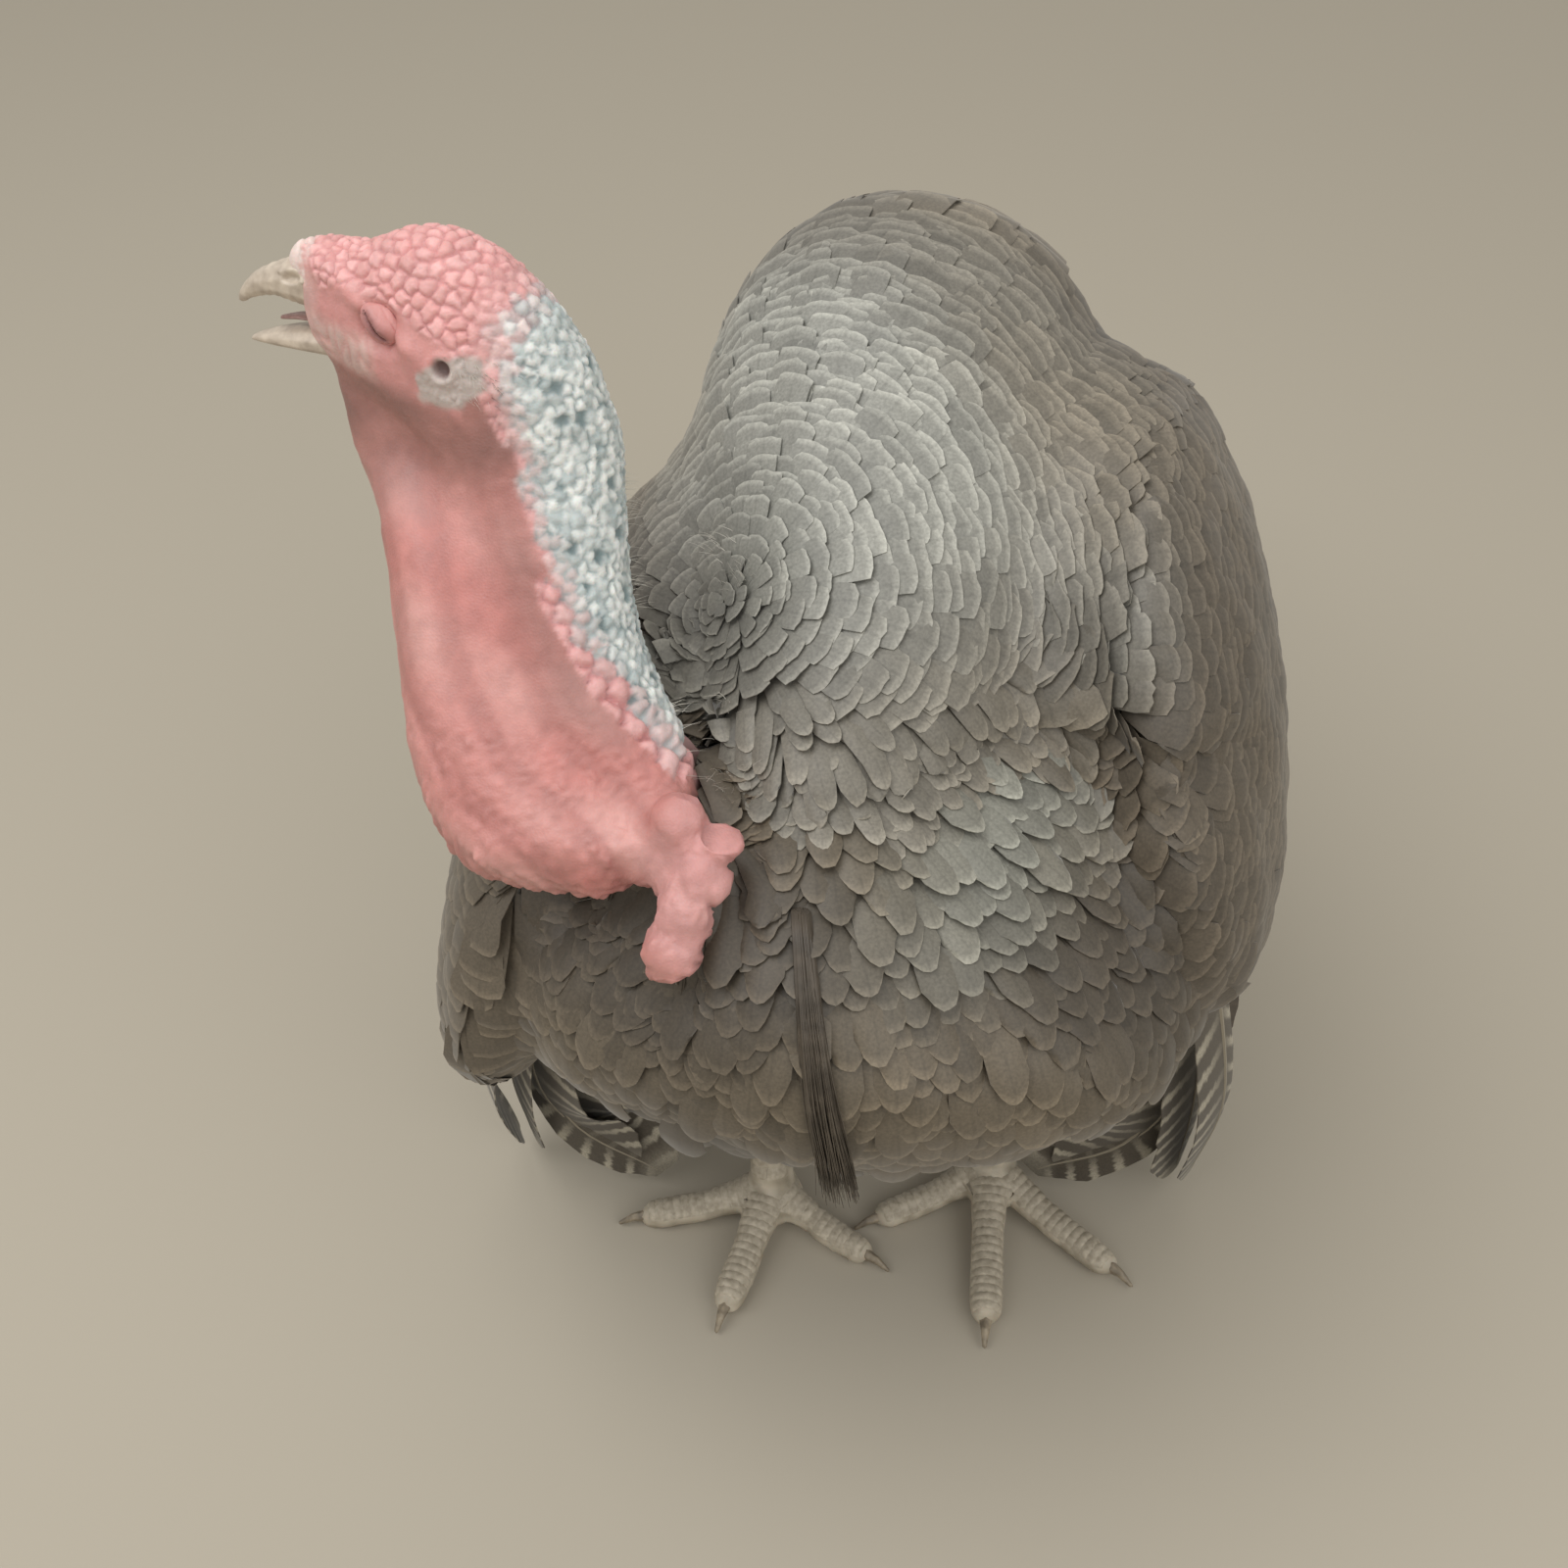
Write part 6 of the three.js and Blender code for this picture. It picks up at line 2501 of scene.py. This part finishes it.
@dataclass
class Scutes:
    """The horny plates over the toes and down the front of the shanks.

    Args:
        feet: for each side, the joint of the toes, the hock and the claws' points, bird's frame.
        radii: of each toe.
        claw: its length.
        pitch: from plate to plate on the toes, mm.
        shank_pitch: on the shanks, mm.
    """

    feet: dict = field(default_factory=lambda: {
        "left": ((71, 6, 24), (60, 34, 172), {
            "outer": (146, -45), "middle": (78, -92), "inner": (7, -35), "hallux": (60, 58)}),
        "right": ((-37, -26, 24), (-52, 10, 168), {
            "outer": (-111, -52), "middle": (-50, -106), "inner": (27, -57), "hallux": (-28, 27)}),
    })
    radii: dict = field(default_factory=lambda: {"outer": 7.4, "middle": 8.2, "inner": 7.2, "hallux": 5.4})
    claw: float = 15.0
    pitch: float = 4.3
    shank_pitch: float = 6.2

    @staticmethod
    def run(line: Array, up: Array, tree: BVHTree, spread: float, reach: float, pitch: float,
            thickness: float = 0.9) -> list[Array]:
        """Lays plates along a line.

        Args:
            line: the limb's middle line, bird's frame.
            up: the way the plates face.
            tree: the skin, to lie on.
            spread: half the angle they wrap, radians.
            reach: how far out the skin is looked for, mm.
            pitch: from plate to plate, mm.
            thickness: of the plates, mm.

        Returns:
            The points of each plate, the upper side first.
        """
        gaps = np.linalg.norm(np.diff(line, axis=0), axis=1)
        gone = np.concatenate([[0], np.cumsum(gaps)])
        count = int(gone[-1] / pitch)
        turns = np.linspace(-spread, spread, 7)
        shares = np.array([-0.08, 0.3, 0.75, 1.04])
        heights = np.array([-0.25, 0.55, 0.85, 0.35])
        plates = []
        for k in range(count):
            at = (k + shares) * gone[-1] / count
            centres = np.stack([np.interp(at, gone, line[:, axis]) for axis in range(3)], 1)
            along = unit(centres[-1] - centres[0])
            face_up = unit(up - along * (up @ along))
            side = np.cross(along, face_up)
            rows = []
            for centre, height in zip(centres, heights):
                for turn in turns:
                    way = face_up * math.cos(turn) + side * math.sin(turn)
                    origin = BIRD.place(centre + way * reach)
                    hit, _, _, _ = tree.ray_cast(Vector(origin), Vector(-way), reach * MM)
                    base = BIRD.read(np.array(hit)) if hit is not None else centre + way * 5
                    rows.append(base + way * (height * (1 - 0.5 * abs(turn / spread) ** 4)))
            upper = np.array(rows).reshape(len(heights), len(turns), 3)
            under = upper - unit(upper - centres[:, None]) * thickness
            plates.append(np.concatenate([upper.reshape(-1, 3), under.reshape(-1, 3)]))
        return plates

    def toe_line(self, joint: tuple, tip_xy: tuple, name: str) -> Array:
        """Draws the middle line of one toe, from the pad to the claw.

        Args:
            joint: where the toes meet, bird's frame.
            tip_xy: the claw's point.
            name: of the toe.

        Returns:
            Points along the line, bird's frame.
        """
        radius = self.radii[name]
        root = np.array([joint[0], joint[1] - 2.0])
        tip = np.array(tip_xy, float)
        tip -= unit(tip - root) * self.claw
        if name == "hallux":
            keys = [(0.1, 20), (0.5, radius + 3), (1, radius * 0.8)]
        else:
            keys = [(0.12, 17), (0.3, radius + 5), (0.62, radius), (1, radius * 0.74)]
        path = np.array([(*(root + (tip - root) * t), z) for t, z in keys])
        return curve_through(path, np.linspace(0, 1, 30))

    def build(self, skin: Piece, material: Material) -> None:
        """Makes the plates of each foot as one piece, on the skin.

        Args:
            skin: the skin they lie on.
            material: their material.
        """
        tree = surface_of([skin.data])
        for side, (joint, hock, toes) in self.feet.items():
            plates = []
            for name, tip in toes.items():
                line = self.toe_line(joint, tip, name)
                plates += self.run(line, np.array([0, 0, 1.0]), tree, 1.2, 16, self.pitch)
            run = np.array(hock) - np.array(joint)
            shank = np.array(joint) + np.linspace(0.04, 0.62, 30)[:, None] * run
            for lean in (-0.62, 0.62):
                plates += self.run(shank[::-1], np.array([lean, -1.0, 0.0]), tree, 0.56, 20, self.shank_pitch)
            faces = slab_faces(4, 7) + (np.arange(len(plates)) * len(plates[0]))[:, None, None]
            piece = mesh_piece(f"scutes_{side}", BIRD.place(np.concatenate(plates)), faces.reshape(-1, 4))
            close_up(piece, crease=50)
            finish_piece(piece, material, "leg_scale")


# ---------------------------------------------------------------- studio


@dataclass
class Studio:
    """Floor, light and camera.

    Args:
        eye: the camera's place in the bird's frame.
        azimuth: degrees that the view is turned from straight ahead.
        down: degrees that it looks down.
        lens: focal length on a 36 mm sensor.
        floor_size: of the square floor, metres.
    """

    eye: Point = (72.0, -610.0, 781.0)
    azimuth: float = 10.0
    down: float = 40.0
    lens: float = 42.75
    floor_size: float = 60.0

    def floor(self) -> None:
        """A plain pale floor."""
        bpy.ops.object.select_all(action="DESELECT")
        bpy.ops.mesh.primitive_plane_add(size=self.floor_size, location=(0, 0, -0.0005))
        floor = bpy.context.object
        floor.name = "floor"
        dress(floor, NodeKit("matt_painted_floor").finish({"Base Color": linear("b3ab9c"), "Roughness": 0.9}))
        floor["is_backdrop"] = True

    def camera(self) -> None:
        """The camera at the pose's own viewing angle."""
        data = bpy.data.cameras.new("camera")
        data.lens = self.lens
        data.sensor_width = 36.0
        camera = bpy.data.objects.new("camera", data)
        camera.location = BIRD.place(np.array(self.eye))
        camera.rotation_euler = (math.radians(90 - self.down), 0, math.radians(self.azimuth))
        bpy.context.collection.objects.link(camera)
        bpy.context.scene.camera = camera

    def lights(self) -> None:
        """A wide soft light from above and the left, and an even pale surrounding."""
        world = bpy.data.worlds.new("studio")
        bpy.context.scene.world = world
        world.use_nodes = True
        background = world.node_tree.nodes["Background"]
        background.inputs["Color"].default_value = linear("e4e2dc")
        background.inputs["Strength"].default_value = 0.8
        bpy.context.scene.view_settings.view_transform = "Standard"
        for name, place, size, power in (
            ("key", (-0.8, -0.8, 2.1), 1.8, 26.0),
            ("fill", (1.2, -1.3, 1.3), 1.6, 11.0),
        ):
            data = bpy.data.lights.new(name, "AREA")
            data.size = size
            data.energy = power
            lamp = bpy.data.objects.new(name, data)
            lamp.location = place
            aim = Vector((0, 0, 0.3)) - Vector(place)
            lamp.rotation_euler = aim.to_track_quat("-Z", "Y").to_euler()
            bpy.context.collection.objects.link(lamp)

    def build(self) -> None:
        """Sets up floor, light and camera."""
        self.floor()
        self.lights()
        self.camera()


# ---------------------------------------------------------------- finishes


@dataclass(frozen=True)
class VaneFinish:
    """Feather keratin: silky barbs that split the light into fine streaks, a painted highlight along each
    tip's rim, a dark shaft.

    Args:
        roughness: of the vanes.
        sheen: strength of their silky gleam.
    """

    roughness: float = 0.52
    sheen: float = 0.25

    def material(self) -> Material:
        """Builds the material of the small feathers.

        Returns:
            The material.
        """
        kit = NodeKit("feather_keratin")
        across, along, _ = kit.split(kit.vane())
        away = kit.math("ABSOLUTE", kit.math("SUBTRACT", across, 0.5))
        barbs = kit.mottle(1.1, 0.82, 1.16)
        shaft = kit.ease(away, 0.015, 0.06, 0.88)
        # painted highlight: each vane is lightened along its tip's rim
        rim = kit.ease(along, 0.9, 0.99, 0.92, 1.5)
        shade = kit.math("MULTIPLY", kit.math("MULTIPLY", barbs, shaft), rim)
        return kit.finish({
            "Base Color": kit.scaled(kit.colour(), shade),
            "Roughness": self.roughness,
            "Sheen Weight": self.sheen,
            "Sheen Roughness": 0.4,
        })


@dataclass(frozen=True)
class SkinFinish:
    """Bare skin: soft, faintly moist, with pores that break up its gloss."""

    def material(self) -> Material:
        """Builds the material of the skin.

        Returns:
            The material.
        """
        kit = NodeKit("bare_skin")
        place = kit.place()
        blotch = kit.noise(7, detail=3.0, place=place)
        pores = kit.add("TexVoronoi", {"Vector": place, "Scale": 1 / (0.9 * MM)}).outputs["Distance"]
        return kit.finish({
            "Base Color": kit.scaled(kit.colour(), kit.ease(blotch, 0.3, 0.7, 0.9, 1.1)),
            "Roughness": kit.ease(blotch, 0.3, 0.7, 0.42, 0.6),
            "Normal": kit.bump(pores, strength=0.35, depth=0.3),
            "Subsurface Weight": 0.12,
            "Subsurface Radius": (1.0, 0.35, 0.2),
            "Subsurface Scale": 2 * MM,
        })


@dataclass(frozen=True)
class QuillFinish:
    """Large feathers: dark vanes with broken paler bars that fade towards the shaft, and a paler tip.

    Args:
        name: the material's name.
        dark: ground of the vanes, sRGB hex.
        pale: of the bars.
        tip: of the tip's edge.
        shaft: of the shafts.
        bars: how many along a feather.
        plain_from: where along the feather the bars end.
        edged: strength of the pale tip.
    """

    name: str
    dark: str
    pale: str
    tip: str
    shaft: str
    bars: float
    plain_from: float = 1.0
    edged: float = 0.4

    def material(self) -> Material:
        """Builds the material.

        Returns:
            The material.
        """
        kit = NodeKit(self.name)
        own = kit.vane()
        across, along, _ = kit.split(own)
        on_shaft, drawn, barred = kit.split(kit.colour("Part"))
        away = kit.math("ABSOLUTE", kit.math("SUBTRACT", across, 0.5))
        wobble = kit.add("TexNoise", {"Vector": own, "Scale": 16.0, "Detail": 3.0}).outputs["Fac"]
        lean = kit.math("MULTIPLY_ADD", away, -0.05, along)
        drift = kit.math("MULTIPLY_ADD", wobble, 0.025, lean)
        phase = kit.math("MULTIPLY_ADD", drift, self.bars, drawn)
        mask = kit.ease(kit.math("PINGPONG", phase, 0.5), 0.27, 0.4)
        outer = kit.ease(away, 0.04, 0.4, 0.15)
        ending = kit.ease(along, self.plain_from - 0.04, self.plain_from, 1.0, 0.0)
        for other in (outer, barred, ending):
            mask = kit.math("MULTIPLY", mask, other)
        edge = kit.ease(drift, 0.94, 0.985, 0.0, self.edged)
        vane = kit.mix(edge, kit.mix(mask, self.dark, self.pale), self.tip)
        lit = kit.scaled(vane, kit.mottle(0.9, 0.8, 1.2))
        return kit.finish({
            "Base Color": kit.mix(on_shaft, lit, self.shaft),
            "Roughness": 0.5,
            "Sheen Weight": 0.15,
        })


@dataclass(frozen=True)
class PlainFinish:
    """A finish of two colours mingled by noise, with a fine bump.

    Args:
        name: the material's name.
        colours: two sRGB hexes, or none where the piece carries its own.
        roughness: of the surface.
        grain: size of the mottle, mm.
        bump: depth of the fine relief, mm.
        fine: its size, mm.
        coat: clear gloss on top.
    """

    name: str
    colours: tuple[str, str] | None
    roughness: float
    grain: float = 1.0
    bump: float = 0.0
    fine: float = 1.0
    coat: float = 0.0

    def material(self) -> Material:
        """Builds the material.

        Returns:
            The material.
        """
        kit = NodeKit(self.name)
        sockets = {"Roughness": self.roughness, "Coat Weight": self.coat, "Coat Roughness": 0.05}
        if self.colours:
            share = kit.mottle(self.grain, 0.0, 1.0, detail=3.0)
            sockets["Base Color"] = kit.mix(share, *self.colours)
        else:
            sockets["Base Color"] = kit.colour()
        if self.bump:
            sockets["Normal"] = kit.bump(kit.noise(self.fine), strength=0.6, depth=self.bump)
        return kit.finish(sockets)


# Dark vanes with broken grey bars.
WING_QUILL = QuillFinish("barred_wing_quill", "4a4339", "a39c8c", tip="a39c8c", shaft="8a8170", bars=17.0)
# Brown-black vanes, finely pencilled, with pale edges.
TAIL_QUILL = QuillFinish(
    "pencilled_tail_quill", "453b31", "77695a", tip="a39886", shaft="5c5144", bars=30.0,
    plain_from=0.86, edged=0.9,
)
# Ivory with grey clouding.
HORN = PlainFinish("bill_horn_sheath", ("cfc1b0", "a89a8b"), roughness=0.38, grain=5.0, bump=0.12, fine=0.8)
# Worn grey-brown horn.
CLAW = PlainFinish("claw_horn", ("9a8d78", "6b6152"), roughness=0.42, grain=4.0, bump=0.15, fine=0.7)
# Dry, dusty plates.
SCALE = PlainFinish("leg_scale_keratin", ("beb4a2", "998f7e"), roughness=0.55, grain=3.0, bump=0.2, fine=0.9)
# Coarse dark bristle.
BRISTLE = PlainFinish("beard_bristle_keratin", ("574e43", "3d362d"), roughness=0.45, grain=6.0)
# Bleached down and bristles.
FILAMENT = PlainFinish("pale_filament", ("cfcbc1", "b3aea3"), roughness=0.5, grain=4.0)
# Moist and smooth flesh.
TONGUE = PlainFinish("tongue_skin", ("a1807a", "8a6862"), roughness=0.4, grain=2.5, bump=0.1, fine=0.7)
# A wet dark dome.
EYE = PlainFinish("wet_eye", None, roughness=0.08, coat=1.0)


# ---------------------------------------------------------------- the bird


def main() -> None:
    """Builds the bird piece by piece."""
    Studio().build()
    skin, base = Skin().build()
    BareSkin().shape(skin)
    flesh = [*BARE_NODES, *LEG_NODES, *COAT_NODES]
    finish_piece(skin, SkinFinish().material(), "body_skin", *flesh, smooth=True)
    Plumage(Lie.over(base)).build(VaneFinish().material())
    FlightFeathers().build(WING_QUILL.material(), TAIL_QUILL.material())
    Beard().build(BRISTLE.material())
    Bill().build(HORN.material(), TONGUE.material())
    Eyes().build(EYE.material())
    coat_quads = base.quads[(base.region[base.quads] >= 0).all(axis=1)]
    coat = BVHTree.FromPolygons(base.outer.tolist(), coat_quads.tolist())
    bare = BVHTree.FromPolygons(points_of(skin).tolist(), [tuple(p.vertices) for p in skin.data.polygons])
    Wisps().build([coat, bare], FILAMENT.material(), BRISTLE.material())
    Scutes().build(skin, SCALE.material())
    claw = CLAW.material()
    for side in SIDES:
        nodes = tuple(f"claw_{toe}_{side}" for toe in TOES)
        for name, stands_for in ((f"claws_{side}", nodes), (f"spur_horn_{side}", (f"spur_{side}",))):
            HornPiece(name, stands_for, "claw_horn", grid=0.6, rounds=6).build(claw)
    sizes = {"cad": CAD_BOX, "visual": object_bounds()}
    {name: [list(map(float, corner)) for corner in box] for name, box in sizes.items()}


if __name__ == "__main__":
    main()
